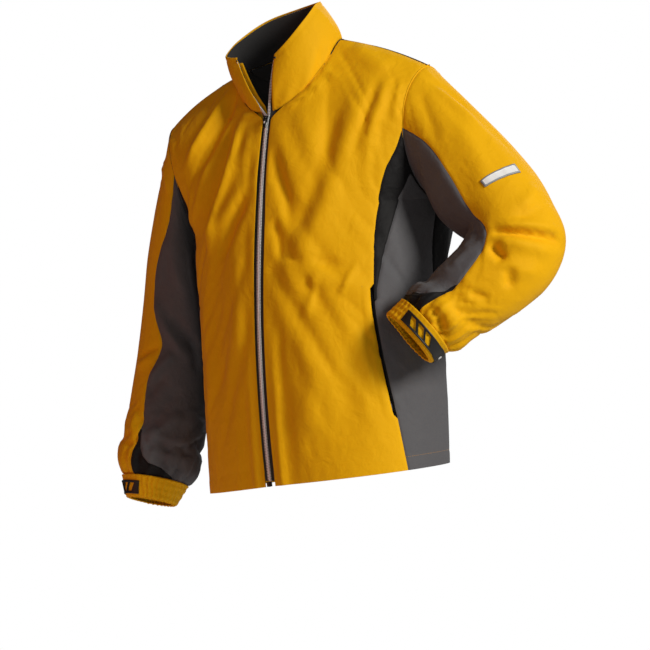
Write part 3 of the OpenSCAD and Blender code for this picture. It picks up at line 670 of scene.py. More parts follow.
body_folds = {
    # The wearer's left: drags from the raised shoulder down to the zip, puckers at the collar, and
    # the swell of the front below the chest.
    1: [(on_body(1, places), width, height) for places, width, height in (
        ([(0.69, 0.78), (0.56, 0.48), (0.43, 0.24), (0.29, -0.04), (0.19, -0.21), (0.12, -0.4)], 26, 9),
        ([(0.48, 0.6), (0.36, 0.32), (0.24, 0.05), (0.14, -0.12)], 17, -6),
        ([(0.82, 0.76), (0.79, 0.58), (0.71, 0.45), (0.6, 0.22)], 9, 6),
        ([(0.74, 0.72), (0.69, 0.55), (0.61, 0.43), (0.51, 0.26)], 7, -4),
        ([(0.91, 0.76), (0.93, 0.63), (0.92, 0.5)], 7, 4),
        ([(0.05, 0.62), (0.09, 0.35), (0.12, 0.14), (0.15, -0.08)], 9, -5),
        ([(0.06, -0.02), (0.09, -0.12), (0.11, -0.2)], 6, -4),
        ([(0.1, -0.17), (0.36, -0.22), (0.6, -0.28)], 7, -3.5),
        ([(0.16, -0.23), (0.36, -0.28), (0.58, -0.34)], 14, 5),
        ([(0.52, -0.23), (0.47, -0.27), (0.42, -0.36)], 6, 4),
        ([(0.3, -0.24), (0.28, -0.3), (0.24, -0.42)], 8, 4),
        ([(0.2, -0.42), (0.27, -0.62), (0.2, -0.86)], 24, 6),
        ([(0.5, -0.5), (0.46, -0.7), (0.42, -0.9)], 22, -4),
        ([(0.08, 0.97), (0.15, 0.86)], 5, 3.2),
        ([(0.13, 0.97), (0.23, 0.78)], 5, 3.6),
        ([(0.19, 0.97), (0.3, 0.74)], 6, 3.2),
        ([(0.26, 0.96), (0.42, 0.7)], 7, 3),
        ([(0.45, 0.93), (0.66, 0.83), (0.84, 0.8)], 16, 5),
        ([(1.3, 0.1), (1.45, -0.2), (1.6, -0.5)], 22, 6),
        ([(1.15, -0.1), (1.2, -0.4), (1.25, -0.75)], 18, 5),
        ([(0.8, -0.3), (0.86, -0.55), (0.9, -0.8)], 20, 5))],
    # The wearer's right: long drags that fan out from the collar to the lowered arm.
    -1: [(on_body(-1, places), width, height) for places, width, height in (
        ([(0.14, 0.9), (0.17, 0.72), (0.18, 0.6), (0.21, 0.39), (0.3, 0.1), (0.35, -0.12)], 9, 10),
        ([(0.24, 0.78), (0.27, 0.55), (0.32, 0.32), (0.4, 0.12)], 10, -9),
        ([(0.4, 0.9), (0.42, 0.82), (0.48, 0.69), (0.64, 0.54), (0.76, 0.47)], 8, 9),
        ([(0.34, 0.85), (0.36, 0.68), (0.47, 0.5), (0.6, 0.38)], 10, -8),
        ([(0.52, 0.91), (0.5, 0.79), (0.53, 0.7)], 6, 3.5),
        ([(0.04, 0.42), (0.14, 0.22), (0.29, -0.01), (0.42, -0.06)], 14, 6),
        ([(0.06, 0.22), (0.16, 0.02), (0.24, -0.16)], 10, -5),
        ([(0.43, 0.47), (0.53, 0.25), (0.64, 0.1)], 8, 5),
        ([(0.62, 0.36), (0.66, 0.2), (0.7, 0.06)], 6, 3.5),
        ([(0.1, 0.9), (0.1, 0.69), (0.09, 0.3)], 6, 2.5),
        ([(0.1, -0.06), (0.13, -0.3), (0.12, -0.55)], 18, 6),
        ([(0.26, -0.1), (0.3, -0.4), (0.28, -0.7)], 20, -5),
        ([(0.45, -0.25), (0.42, -0.55), (0.46, -0.85)], 18, 5),
        ([(0.08, 0.96), (0.17, 0.84)], 5, 3),
        ([(0.18, 0.96), (0.26, 0.8)], 6, 3),
        ([(1.3, 0.1), (1.45, -0.2), (1.55, -0.5)], 22, 6),
        ([(1.1, -0.2), (1.15, -0.5), (1.2, -0.8)], 18, 5))]}
# The sleeves: a deep crease and its dents inside the bent left elbow, long twists along the right
# sleeve, and the cloth that drops over both cuffs.
sleeve_folds = {
    1: [(on_sleeve(1, places), width, height) for places, width, height in (
        ([(156, 0.59), (134, 0.565), (118, 0.55), (100, 0.54), (82, 0.53), (60, 0.53)], 6, -14),
        ([(150, 0.57), (120, 0.53), (76, 0.51)], 10, 9),
        ([(146, 0.61), (118, 0.585), (76, 0.56)], 10, 7),
        ([(144, 0.625), (134, 0.64), (120, 0.645)], 8, -12),
        ([(112, 0.645), (106, 0.665), (92, 0.685)], 9, -8),
        ([(124, 0.78), (112, 0.77), (98, 0.745)], 7, -5),
        ([(128, 0.8), (112, 0.795), (96, 0.775)], 8, 4),
        ([(140, 0.9), (118, 0.905), (98, 0.92), (74, 0.93)], 6, -9),
        ([(136, 0.87), (110, 0.875), (84, 0.885)], 9, 5),
        ([(108, 0.03), (102, 0.08), (96, 0.15)], 6, -4),
        ([(112, 0.06), (108, 0.12), (104, 0.2)], 8, 3.5),
        ([(130, 0.52), (116, 0.49), (94, 0.455)], 12, -4),
        ([(124, 0.48), (108, 0.44), (90, 0.4)], 12, 4),
        ([(129, 0.03), (142, 0.09), (156, 0.16)], 9, -3.5),
        ([(118, 0.15), (135, 0.25), (150, 0.4)], 18, 4),
        ([(122, 0.66), (100, 0.64), (82, 0.61)], 11, 4),
        ([(170, 0.16), (180, 0.27), (192, 0.42)], 12, 4),
        ([(164, 0.66), (168, 0.71), (168, 0.77)], 8, 3.5),
        ([(190, 0.56), (176, 0.6), (164, 0.66)], 8, -4),
        ([(20, 0.15), (10, 0.32), (24, 0.46)], 18, 5),
        ([(40, 0.62), (30, 0.7), (44, 0.8)], 14, -4))],
    -1: [(on_sleeve(-1, places), width, height) for places, width, height in (
        ([(188, 0.13), (196, 0.23), (214, 0.33)], 9, 5),
        ([(183, 0.15), (177, 0.25), (176, 0.34)], 9, 4),
        ([(172, 0.35), (186, 0.42), (201, 0.47), (232, 0.55)], 8, 8),
        ([(200, 0.4), (222, 0.46), (244, 0.53)], 9, -5),
        ([(216, 0.53), (198, 0.59), (182, 0.65)], 8, 7),
        ([(206, 0.62), (194, 0.66), (186, 0.7)], 8, -4),
        ([(242, 0.72), (226, 0.76), (214, 0.79), (195, 0.85)], 9, 7),
        ([(238, 0.66), (220, 0.69), (202, 0.75)], 10, -5),
        ([(192, 0.87), (208, 0.895), (234, 0.905)], 6, 5),
        ([(153, 0.57), (172, 0.545), (192, 0.52)], 6, -5),
        ([(148, 0.6), (168, 0.58), (184, 0.56)], 9, 4),
        ([(132, 0.05), (150, 0.055), (165, 0.07)], 5, 3.5),
        ([(104, 0.06), (124, 0.075), (142, 0.08)], 5, 3),
        ([(230, 0.46), (243, 0.52), (252, 0.6)], 8, -5),
        ([(168, 0.73), (170, 0.79), (171, 0.85)], 8, 4),
        ([(262, 0.7), (250, 0.8), (234, 0.86)], 10, 5),
        ([(210, 0.12), (220, 0.26), (236, 0.4)], 8, -4),
        ([(60, 0.3), (40, 0.5), (60, 0.72)], 16, 5),
        ([(110, 0.35), (90, 0.5), (104, 0.62)], 14, -4))]}


def folded(points, folds):
    return sum((ridge(points, *f) for f in folds), np.zeros(points.shape[:-1]))


SEAM_FRONT = [[-1, 0.78], [-0.76, 0.72], [-0.53, 0.665], [-0.3, 0.61], [-0.07, 0.585], [0.1, 0.65],
              [0.25, 0.76], [0.4, 0.93], [0.52, 1.02]]
INSERT_LINE = [[-0.38, 0.63], [-0.2, 0.655], [-0.05, 0.7], [0.04, 0.75], [0.2, 0.91], [0.28, 1.01]]
SEAM_BACK = [[-1, 1.4], [-0.5, 1.45], [-0.1, 1.42], [0.15, 1.32], [0.3, 1.16], [0.46, 0.98]]
BACK_INSERT_LINE = [[-0.62, 1.4], [-0.4, 1.12], [-0.2, 1.0], [0, 0.985]]
ZIP_EDGE = 0.0215
SIDE_NAME = {1: "left", -1: "right"}


def seam_front(h):
    return keyed(SEAM_FRONT, h)


def seam_back(h):
    return keyed(SEAM_BACK, h)


def seam_insert(h):
    return np.maximum(keyed(INSERT_LINE, h), seam_front(h) + 0.018)


def seam_back_insert(h):
    return np.minimum(keyed(BACK_INSERT_LINE, h), seam_back(h) - 0.018)


def zip_side(h):
    return ZIP_EDGE + 0.12 * (np.maximum(0, h - 0.88) / 0.12) ** 2


SIDE_DROP = 430
ARMHOLE_RISE = 200


def rows_between(low, high, step_mm=4.6):
    """Heights h from low to high, fine at both ends."""
    length = SIDE_DROP * (min(high, 0) - min(low, 0)) + ARMHOLE_RISE * (max(high, 0) - max(low, 0))
    return low + (high - low) * eased(length, step=step_mm)


def shell_grid(side, h, low, high, columns):
    """The heights h and the points of a body panel between two seams."""
    hh = h[:, None] * np.ones(len(columns))[None]
    qq = low(hh) + (high(hh) - low(hh)) * columns[None]
    return hh, body_at(side, qq, hh)


def sheet_piece(name, g, materials, out, closed=False, thickness=0.8):
    """A cloth piece from a grid of points whose normals point out when out is 1."""
    ids = np.arange(g.shape[0] * g.shape[1]).reshape(g.shape[:2])
    faces = quads(ids, closed)
    if out < 0:
        faces = [f[::-1] for f in faces]
    made = mesh_piece(name, g.reshape(-1, 3), faces, materials)
    solid = made.modifiers.new("thickness", "SOLIDIFY")
    solid.thickness = thickness * MM
    solid.offset = -1
    solid.material_offset = 1 if len(materials) > 1 else 0
    solid.material_offset_rim = 0
    return made


def declare(piece, nodes, body):
    """Says which CAD nodes the cloth piece replaces and what it rides on."""
    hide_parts(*nodes)
    if body:
        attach(piece, body)


# The body panels: yellow fronts and back, grey sides, and black inserts that rise to the armhole.
HEM_STITCH = 21.0
POCKET_LOW, POCKET_TOP = -0.8, -0.32
MOUTH_SHARE = {1: 0.022, -1: 0.034}
body_pieces = {}


def hem_lift(h):
    """How the cloth stands proud where the hem is turned up, with a groove at its stitches."""
    height = (h + 1) * SIDE_DROP
    turned = 0.5 * rise(height, HEM_STITCH + 1.5, HEM_STITCH - 1.5)
    return turned - 0.9 * np.exp(-((height - HEM_STITCH) / 1.6) ** 2)


def body_panel(name, side, rows, low, high, width, cloth, front_seam=True):
    """One panel of the body between two seams, with its folds, its hem and the dips at its seams."""
    columns = eased(width)
    hh, g = shell_grid(side, rows, low, high, columns)
    n = grid_normals(g) * side
    left, right, bottom, upper = distances(g)
    lift = folded(g, body_folds[side]) + hem_lift(hh)
    lift += (seam_dip(left) if front_seam else 0) + seam_dip(right)
    lift += seam_dip(upper)
    if "front_panel" in name:
        welt = rise(hh, POCKET_LOW - 0.01, POCKET_LOW + 0.01) * rise(hh, POCKET_TOP + 0.01, POCKET_TOP - 0.01)
        lift += welt * (0.9 * rise(right, 17, 14) - 0.8 * np.exp(-((right - 16) / 1.4) ** 2)
                        - 3.2 * rise(right, 4.5, 0) * 0.6)
    g = g + n * lift[..., None]
    piece = sheet_piece(name + "_cloth", g, [cloth, lining], side)
    declare(piece, [name], "shell")
    body_pieces[name] = piece
    return piece


def front_edge(side, h):
    """The front panel's side edge, which steps back along the open mouth of the pocket."""
    mouth = rise(h, POCKET_LOW - 0.006, POCKET_LOW + 0.006) * rise(h, POCKET_TOP + 0.006, POCKET_TOP - 0.006)
    return np.minimum(seam_front(h), 1) - MOUTH_SHARE[side] * mouth


for side in SIDES:
    label = SIDE_NAME[side]
    body_panel(label + "_front_panel", side, rows_between(-1, 0.998), zip_side,
               lambda h: front_edge(side, h), 240, yellow, False)
    body_panel(label + "_front_insert", side, rows_between(-0.375, 0.5),
               lambda h: np.minimum(seam_front(h), 0.99), lambda h: np.minimum(seam_insert(h), 1), 30, black)
    lower = lambda h: np.where(h < -0.38, seam_front(h), np.minimum(seam_insert(h), 0.99))
    upper = lambda h: np.minimum(np.where(h < -0.62, seam_back(h), seam_back_insert(h)),
                                 np.where(h > -0.001, 1, 9))
    body_panel(label + "_side_panel", side, rows_between(-1, 0.25), lower, upper, 190, grey)
    body_panel(label + "_back_insert", side, rows_between(-0.61, 0.44),
               lambda h: np.where(h < 0, seam_back_insert(h), 1.0),
               lambda h: np.maximum(seam_back(h), 1.005), 90, black)

back_rows = rows_between(-1, 0.998)
columns = eased(260)
halves = {side: shell_grid(side, back_rows, lambda h: 2 + 0 * h,
                           lambda h: np.maximum(seam_back(h), 1), columns) for side in SIDES}
hh = np.concatenate([halves[-1][0][:, :0:-1], halves[1][0]], 1)
g = np.concatenate([halves[-1][1][:, :0:-1], halves[1][1]], 1)
n = -grid_normals(g)
left, right, bottom, upper_edge = distances(g)
lift = folded(g, body_folds[1] + body_folds[-1]) + seam_dip(left) + seam_dip(right) + seam_dip(upper_edge)
lift += hem_lift(hh)
back_piece = sheet_piece("back_panel_cloth", g + n * lift[..., None], [yellow, lining], -1)
declare(back_piece, ["back_panel"], "shell")


# The hem facing: the strip of shell cloth turned up inside the hem.
for side in SIDES:
    q, h = np.meshgrid(np.linspace(0.04, 1.99, 120), np.linspace(-0.998, -0.95, 5))
    g = body_at(side, q, h)
    facing_piece = sheet_piece(SIDE_NAME[side] + "_hem_facing_cloth", g - grid_normals(g) * side * 2.2,
                               [yellow], side)
    declare(facing_piece, [SIDE_NAME[side] + "_hem_facing"], "shell")


def dashes(name, points, up, thread, length=2.7, gap=1.1, radius=0.32):
    """Lock stitches: short thread dashes along a line of points, lifted along up."""
    seg = np.linalg.norm(np.diff(points, axis=0), axis=1)
    run = np.concatenate([[0], np.cumsum(seg)])
    starts = np.arange(1, run[-1] - length, length + gap)

    def at(x, values=points):
        return np.stack([np.interp(x, run, values[:, k]) for k in range(3)], -1)

    a, b, lift = at(starts), at(starts + length), unit(at(starts, up))
    along = unit(b - a)
    across = unit(np.cross(along, lift))
    verts, faces = [], []
    for t, r in ((0, 0.35), (0.2, 1), (0.8, 1), (1, 0.35)):
        for k in range(6):
            angle = k * math.pi / 3
            spoke = across * math.cos(angle) + lift * (math.sin(angle) * 0.8 + 0.25)
            verts.append(a + (b - a) * t + spoke * radius * r)
    verts = np.stack(verts, 1)
    for m in range(len(starts)):
        base = m * 24
        for ring_number in range(3):
            for k in range(6):
                i, j = base + ring_number * 6 + k, base + ring_number * 6 + (k + 1) % 6
                faces.append((i, j, j + 6, i + 6))
        faces += [tuple(base + k for k in range(5, -1, -1)), tuple(base + 18 + k for k in range(6))]
    return mesh_piece(name, verts.reshape(-1, 3), faces, [thread])


def stitch_line(name, side, q, h, thread, lift=0.1):
    """A row of stitches on the body along the places q, h."""
    p = body_at(side, q, h)
    e = 0.004
    n = unit(np.cross(body_at(side, q + e, h) - body_at(side, q - e, h),
                      body_at(side, q, h + e) - body_at(side, q, h - e))) * side
    return dashes(name, p + n * (lift + folded(p, body_folds[side]))[:, None], n, thread)


for side in SIDES:
    label = SIDE_NAME[side]
    q = np.linspace(ZIP_EDGE + 0.004, 1.995, 400)
    hem_seam = stitch_line(label + "_hem_stitches", side, q, 0 * q - 1 + HEM_STITCH / SIDE_DROP,
                           thread_yellow, -0.35)
    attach(hem_seam, "shell")
    h = np.linspace(POCKET_LOW - 0.005, POCKET_TOP + 0.005, 120)
    welt_seam = stitch_line(label + "_pocket_stitches", side, seam_front(h) - MOUTH_SHARE[side] - 16 / 330, h,
                            thread_yellow, -0.2)
    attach(welt_seam, "shell")

# The hand pockets: a coil zip deep in the seam between front and side, with a slider and a pull,
# and a mesh bag behind the front panel.
MOUTH_DEPTH = 11.0


def mouth_frame(side):
    """The foot, length and run, outward and across directions of the pocket's straight zip."""
    ends = [body_cut(side, 1, seam_front(np.array([h])) - 0.018, np.array([h]))[0]
            for h in (POCKET_LOW + 0.006, POCKET_TOP - 0.006)]
    length = np.linalg.norm(ends[1] - ends[0])
    run = (ends[1] - ends[0]) / length
    out = np.array([side * math.sin(math.radians(62)), -math.cos(math.radians(62)), 0])
    out = unit(out - run * (out @ run))
    return ends[0], length, run, out, np.cross(-out, run)


def ribbon(name, points, wide, width, depth, out, material):
    """A flat strip with a little thickness along a line of points."""
    g = np.stack([points - wide * width / 2, points, points + wide * width / 2], 1) + (out * depth)[:, None]
    return sheet_piece(name, g, [material], 1, thickness=0.6)


def rounded_box(size, bevel, segments=2):
    """Points and faces of a box with rounded edges, centred on the origin."""
    shape = bmesh.new()
    bmesh.ops.create_cube(shape, size=1)
    bmesh.ops.scale(shape, vec=size, verts=shape.verts)
    bmesh.ops.bevel(shape, geom=shape.edges[:], offset=bevel, segments=segments, profile=0.5, affect="EDGES")
    shape.verts.ensure_lookup_table()
    points = np.array([v.co[:] for v in shape.verts])
    faces = [tuple(v.index for v in f.verts) for f in shape.faces]
    shape.free()
    return points, faces


def joined(parts):
    """One list of points and faces from several, each moved by its own function."""
    points, faces, base = [], [], 0
    for p, f in parts:
        points.append(p)
        faces += [tuple(i + base for i in face) for face in f]
        base += len(p)
    return np.concatenate(points), faces


def placed(part, origin, x, y, z):
    """A part whose axes are turned to x, y and z and moved to origin."""
    p, f = part
    turned = p[:, :1] * np.asarray(x) + p[:, 1:2] * np.asarray(y) + p[:, 2:3] * np.asarray(z)
    return np.asarray(origin) + turned, f


def block(size, bevel, offset, segments=2):
    """A rounded box that is moved by the offset."""
    points, faces = rounded_box(size, bevel, segments)
    return points + np.asarray(offset, float), faces


for side in SIDES:
    label = SIDE_NAME[side]
    foot, length, run, out, across = mouth_frame(side)
    place = foot + run * np.linspace(0, length, 45)[:, None]
    tape = ribbon(label + "_pocket_tape", place, across, 12, -MOUTH_DEPTH - 0.7, out[None], tape_black)
    coil_parts = [placed(rounded_box((3.4, 1.2, 1.0), 0.3, 1), foot + run * d - out * MOUTH_DEPTH,
                         across, out, run) for d in np.arange(3, length - 3, 1.6)]
    points, faces = joined(coil_parts)
    coil = mesh_piece(label + "_pocket_coil", points, faces, [black_plastic])
    declare(tape, [label + "_pocket_zip"], "shell")
    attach(coil, "shell")
    hw, tw = np.meshgrid(np.linspace(POCKET_LOW, POCKET_TOP, 40), np.linspace(0, 1, 5), indexing="ij")
    g = body_at(side, seam_front(hw) - 0.075 + 0.035 * tw, hw)
    g = g - grid_normals(g) * side * 2.0
    welt = sheet_piece(label + "_pocket_welt_cloth", g, [yellow], side)
    declare(welt, [label + "_pocket_welt"], "shell")
    slider_at = foot + run * (20 if side > 0 else length - 12) - out * (MOUTH_DEPTH - 1.2)
    cheeks = [block((0.8, 2.4, 2.4), 0.3, (k, 1.9, 0)) for k in (-1.3, 1.3)]
    points, faces = joined([placed(part, slider_at, across, out, run) for part in
                            [block((6, 1.2, 8), 0.5, (0, 0.7, 0))] + cheeks])
    slider = mesh_piece(label + "_pocket_slider_body", points, faces, [black_zinc])
    declare(slider, [label + "_pocket_slider"], label + "_pocket_slider")
    pull_parts = [block((1.4, 1.0, 3.2), 0.4, (0, 2.4, -1.5)), block((4, 1.3, 12.6), 0.6, (0, 2.4, -9.2)),
                  block((3.0, 0.8, 0.8), 0.3, (0, 2.4, 0))]
    points, faces = joined([placed(part, slider_at, across, out, run) for part in pull_parts])
    tab_pull = mesh_piece(label + "_pocket_pull_tab", points, faces, [black_rubber])
    declare(tab_pull, [label + "_pocket_pull"], label + "_pocket_pull")
    q, h = np.meshgrid(np.linspace(0.165, 1, 26), np.linspace(-0.91, -0.3, 34))
    qq = 0.165 + (q - 0.165) / 0.835 * (seam_front(h) - 0.035 - 0.165)
    centre = body_at(side, qq, h)
    n = grid_normals(centre) * side
    edge = np.minimum(np.minimum((q - 0.165) / 0.12, 1),
                      np.minimum((h + 0.91) / 0.06, (-0.3 - h) / 0.06)).clip(0, 1)
    puff = 4.5 * np.sqrt(1 - (1 - edge) ** 2)
    front_g = centre - n * (12 - puff)[..., None]
    back_g = centre - n * (12 + puff)[..., None]
    ids = np.arange(front_g.shape[0] * front_g.shape[1]).reshape(front_g.shape[:2])
    count = ids.size
    faces = [f[::side] for f in quads(ids)] + [f[::-side] for f in quads(ids + count)]
    bag = mesh_piece(label + "_pocket_bag_cloth",
                     np.concatenate([front_g.reshape(-1, 3), back_g.reshape(-1, 3)]), faces, [lining])
    solid = bag.modifiers.new("thickness", "SOLIDIFY")
    solid.thickness = 0.0004
    declare(bag, [label + "_pocket_bag"], "shell")

# The collar: a tall band of shell cloth that stands open, rolls over at its top edge and is lined
# with brushed black. Its top edge runs from the right front corner (-1) over the nape (0) to the
# left front corner (1).
COLLAR_RISE = 85
COLLAR_X = [[-1, -58], [-0.85, -82], [-0.7, -97], [-0.5, -93], [-0.25, -64], [0, -10], [0.25, 42],
            [0.5, 66], [0.7, 60], [0.85, 40], [1, 10]]
COLLAR_Y = [[-1, -133], [-0.85, -128], [-0.7, -113], [-0.5, -88], [-0.25, -42], [0, -16], [0.25, -28],
            [0.5, -68], [0.7, -102], [0.85, -124], [1, -134]]
COLLAR_Z = [[-1, -8], [-0.85, -4], [-0.7, 4], [-0.5, 28], [-0.25, 58], [0, 72], [0.25, 74], [0.5, 62],
            [0.7, 34], [0.85, 4], [1, -20]]


def neck_seam(g):
    """The body's top edge at the collar's place g."""
    side, t = np.where(g < 0, -1, 1), np.abs(g)
    u = NECK_SHARE * np.where(t < 0.5, t, 1 - t) / 0.5
    out = np.zeros(g.shape + (3,))
    for s in SIDES:
        for face in FACES:
            use = (side == s) & ((t < 0.5) if face < 0 else (t >= 0.5))
            q = np.where(face > 0, u, 2 - u)
            out = np.where(use[..., None], body_at(s, q, 1 + 0 * q), out)
    return out


def collar_at(g, h):
    """Points of the collar at its place g round the neck and its height h, 0 at the seam, 1 on top."""
    low = neck_seam(g)
    high = np.stack([keyed(COLLAR_X, g), keyed(COLLAR_Y, g), keyed(COLLAR_Z, g)], -1)
    out = low + np.array([0, 62, 0])
    out[..., 2] = 0
    out = unit(out)
    p = mix(low, high, h[..., None]) + out * (5 * np.sin(np.pi * h))[..., None]
    pucker = 1.5 * np.sin(g * 19 + 2.5 * h) * np.exp(-((h - 0.28) / 0.3) ** 2)
    pucker += 1.1 * np.sin(g * 43 + 6 * h + 1) * np.exp(-((h - 0.1) / 0.22) ** 2)
    wave = 2.2 * np.sin(g * 7.3 + 0.8) * h ** 2 + 1.2 * np.sin(g * 13 - 1.2) * h
    return p + out * ((pucker + wave) * rise(1 - np.abs(g), 0, 0.12))[..., None]


def collar_layer(reach, low, high, inset):
    """A grid of the collar that reaches that far to both sides, inset by that many millimetres."""
    g, h = np.meshgrid(np.linspace(-reach, reach, 150), np.linspace(low, high, 26))
    p = collar_at(g, h)
    n = -grid_normals(p)
    return p - n * inset, n, h


outer_collar, n, h = collar_layer(0.965, 0.0, 1.0, 0)
groove = 0.7 * np.exp(-(((1 - h) * COLLAR_RISE - 7) / 1.5) ** 2)
outer_collar = outer_collar + n * (seam_dip(h * COLLAR_RISE, 1.4, 2.5) - groove)[..., None]
roll = [outer_collar[-1:] + (-n[-1:] * (1 - math.cos(a)) + np.array([0, 0, 1.0]) * math.sin(a)) * 1.5
        for a in (0.5, 1.0, 1.6, 2.2, 2.8)]
outer_collar = np.concatenate([outer_collar] + roll)
collar_piece = sheet_piece("collar_shell", outer_collar, [yellow], -1)
declare(collar_piece, ["collar_outer"], "shell")
inner_collar, n, h = collar_layer(0.955, 0.01, 0.985, 3.0)
lining_piece = sheet_piece("collar_brushed_lining", inner_collar, [lining], -1)
declare(lining_piece, ["collar_lining"], "shell")

# The half-moon of lining below the collar, and the loop that hangs the jacket on a hook.
q, h = np.meshgrid(np.linspace(0, 1, 30), np.linspace(0, 1, 14))
moon = {}
for side in SIDES:
    depth = 0.25 * np.sqrt(np.maximum(0.02, 1 - (q * 0.98) ** 2))
    moon[side] = body_at(side, 2 - 0.34 * q, 0.998 - depth * (1 - h))
moon = np.concatenate([moon[-1][:, :0:-1], moon[1]], 1)
moon = moon + grid_normals(moon) * 2.6
moon_piece = sheet_piece("neck_half_moon", moon, [lining], -1)
declare(moon_piece, ["back_neck_facing"], "shell")

x = np.linspace(-28, 28, 41)
ease = 1 - np.clip((np.abs(x) - 21) / 7, 0, 1) ** 2
middle = np.stack([x, -0.6 - 3.8 * ease, 3.5 + 0 * x], -1)
g = np.stack([middle + np.array([0, 0, k]) for k in (-3.5, -2.9, 0, 2.9, 3.5)], 0)
loop_piece = sheet_piece("hanging_loop_band", g, [tape_black], 1, thickness=1.1)
declare(loop_piece, ["hanger_loop"], "shell")

# The front zip. Its chain is closed from the box at the hem to the slider at the chest, and above
# the slider its two halves part and follow the open collar.
TOOTH_PITCH = 2.5
SLIDER_Z = -119.0
CHAIN_FOOT = HEM + 9
collar_top = {side: collar_at(np.array([0.965 * side]), np.array([0.97]))[0] for side in SIDES}


def chain_line(side):
    """Points along the middle of one half of the chain, from its foot to its top, and its directions."""
    closed = np.array([[0, zip_y(z), z] for z in np.linspace(CHAIN_FOOT, SLIDER_Z, 90)])
    start = np.array([0.6 * side, zip_y(SLIDER_Z + 7.5), SLIDER_Z + 7.5])
    t = np.linspace(0, 1, 40)[:, None]
    bow = np.array([6.0 * side, 0, -3.0]) if side < 0 else np.array([-2.0, 0, 2.0])
    parted = start + (collar_top[side] - start) * t + bow * np.sin(np.pi * t)
    line = np.concatenate([closed, parted])
    seg = np.concatenate([[0], np.cumsum(np.linalg.norm(np.diff(line, axis=0), axis=1))])
    share = np.clip((line[:, 2] - SLIDER_Z - 6) / 30, 0, 1)[:, None]
    turned = np.array([0.9, 0.3, 0] if side > 0 else [-0.75, 0.5, 0.1])
    spread = unit(mix(np.array([side, 0, 0.0]), turned, share))
    return line, seg, spread


def along_line(line, seg, spread, d):
    """Points at the lengths d along a line, each with its run, its sideways and its face direction."""
    p = np.stack([np.interp(d, seg, line[:, k]) for k in range(3)], -1)
    q = np.stack([np.interp(d + 1, seg, line[:, k]) for k in range(3)], -1)
    run = unit(q - p + 1e-9)
    wide = unit(np.stack([np.interp(d, seg, spread[:, k]) for k in range(3)], -1))
    wide = unit(wide - run * np.sum(wide * run, -1, keepdims=True))
    return p, run, wide, unit(np.cross(run, wide))


for side in SIDES:
    label = SIDE_NAME[side]
    line, seg, spread = chain_line(side)
    tooth = joined([block((3.7, 2.3, 1.4), 0.35, (1.3, 0, 0)), block((1.5, 2.5, 1.7), 0.4, (-0.1, 0, 0))])
    count = int((seg[-1] - 4) / TOOTH_PITCH)
    d = 1 + TOOTH_PITCH * (np.arange(count) + (0.5 if side < 0 else 0))
    p, run, wide, front = along_line(line, seg, spread, d)
    front = front * np.sign(-front[:, 1:2])
    apart = np.clip((p[:, 2] - SLIDER_Z + 2) / 8, 0, 1)
    parts = [placed(tooth, p[i] + wide[i] * (0.25 + apart[i] * 0.9), wide[i], front[i], run[i])
             for i in range(count)]
    points, faces = joined(parts)
    teeth = mesh_piece(label + "_chain_teeth", points, faces, [silver], smooth=False)
    declare(teeth, [label + "_zip_teeth"], "shell")
    d = np.arange(0, seg[-1], 3.5)
    p, run, wide, front = along_line(line, seg, spread, d)
    front = front * np.sign(-front[:, 1:2])
    beyond = np.clip((p[:, 2] - SLIDER_Z) / 30, 0, 1)
    rows = []
    for w, back in ((2.2, 0.0), (2.6, 0.7), (4.2, 0.8), (7.6, 1.6), (10.5, 3.0), (13.5, 4.0)):
        lean_in = w * (1 - 0.2 * beyond)
        rows.append(p + wide * lean_in[:, None] - front * (back + 0.4))
    tape_grid = np.stack(rows, 1)
    tape = sheet_piece(label + "_chain_tape", tape_grid, [tape_black], side, thickness=0.7)
    declare(tape, [label + "_zip_tape"], "shell")
    top, _, w_top, f_top = along_line(line, seg, spread, np.array([seg[-1] - 1.5]))
    stop_points, stop_faces = placed(rounded_box((4.4, 3.0, 3.2), 0.7), top[0] + w_top[0] * 2.2, w_top[0],
                                     -f_top[0], np.array([0, 0, 1.0]))
    stop = mesh_piece(label + "_chain_stop", stop_points, stop_faces, [black_plastic])
    declare(stop, [label + "_top_stop"], "shell")

foot_y = zip_y(HEM) - 0.2
box_parts = [block((6.4, 5.2, 8), 1.0, (-2.6, foot_y, HEM + 4)),
             block((1.4, 5.6, 1.2), 0.3, (-2.6, foot_y, HEM + 6))]
points, faces = joined(box_parts)
retainer = mesh_piece("chain_box", points, faces, [black_plastic])
declare(retainer, ["zip_box"], "shell")
points, faces = block((1.8, 3.2, 8.4), 0.6, (2.3, foot_y, HEM + 4.6))
pin = mesh_piece("chain_pin", points, faces, [black_plastic])
declare(pin, ["zip_pin"], "shell")

lean = -math.asin((SLIDER_Z - ZIP_CENTRE_Z) / ZIP_RADIUS)
slider_axes = (np.array([1.0, 0, 0]), np.array([0, math.cos(lean), math.sin(lean)]),
               np.array([0, -math.sin(lean), math.cos(lean)]))
slider_place = np.array([0, zip_y(SLIDER_Z), SLIDER_Z])


def wedge_plate(y, thick):
    """One plate of the slider: wide shoulders that taper to the closed chain."""
    p, f = rounded_box((8.4, thick, 11), 0.55, 3)
    p[:, 0] *= np.interp(p[:, 2], [-5.5, 0, 3, 5.5], [0.72, 0.9, 1.0, 0.86])
    p[:, 1] += y
    return p, f


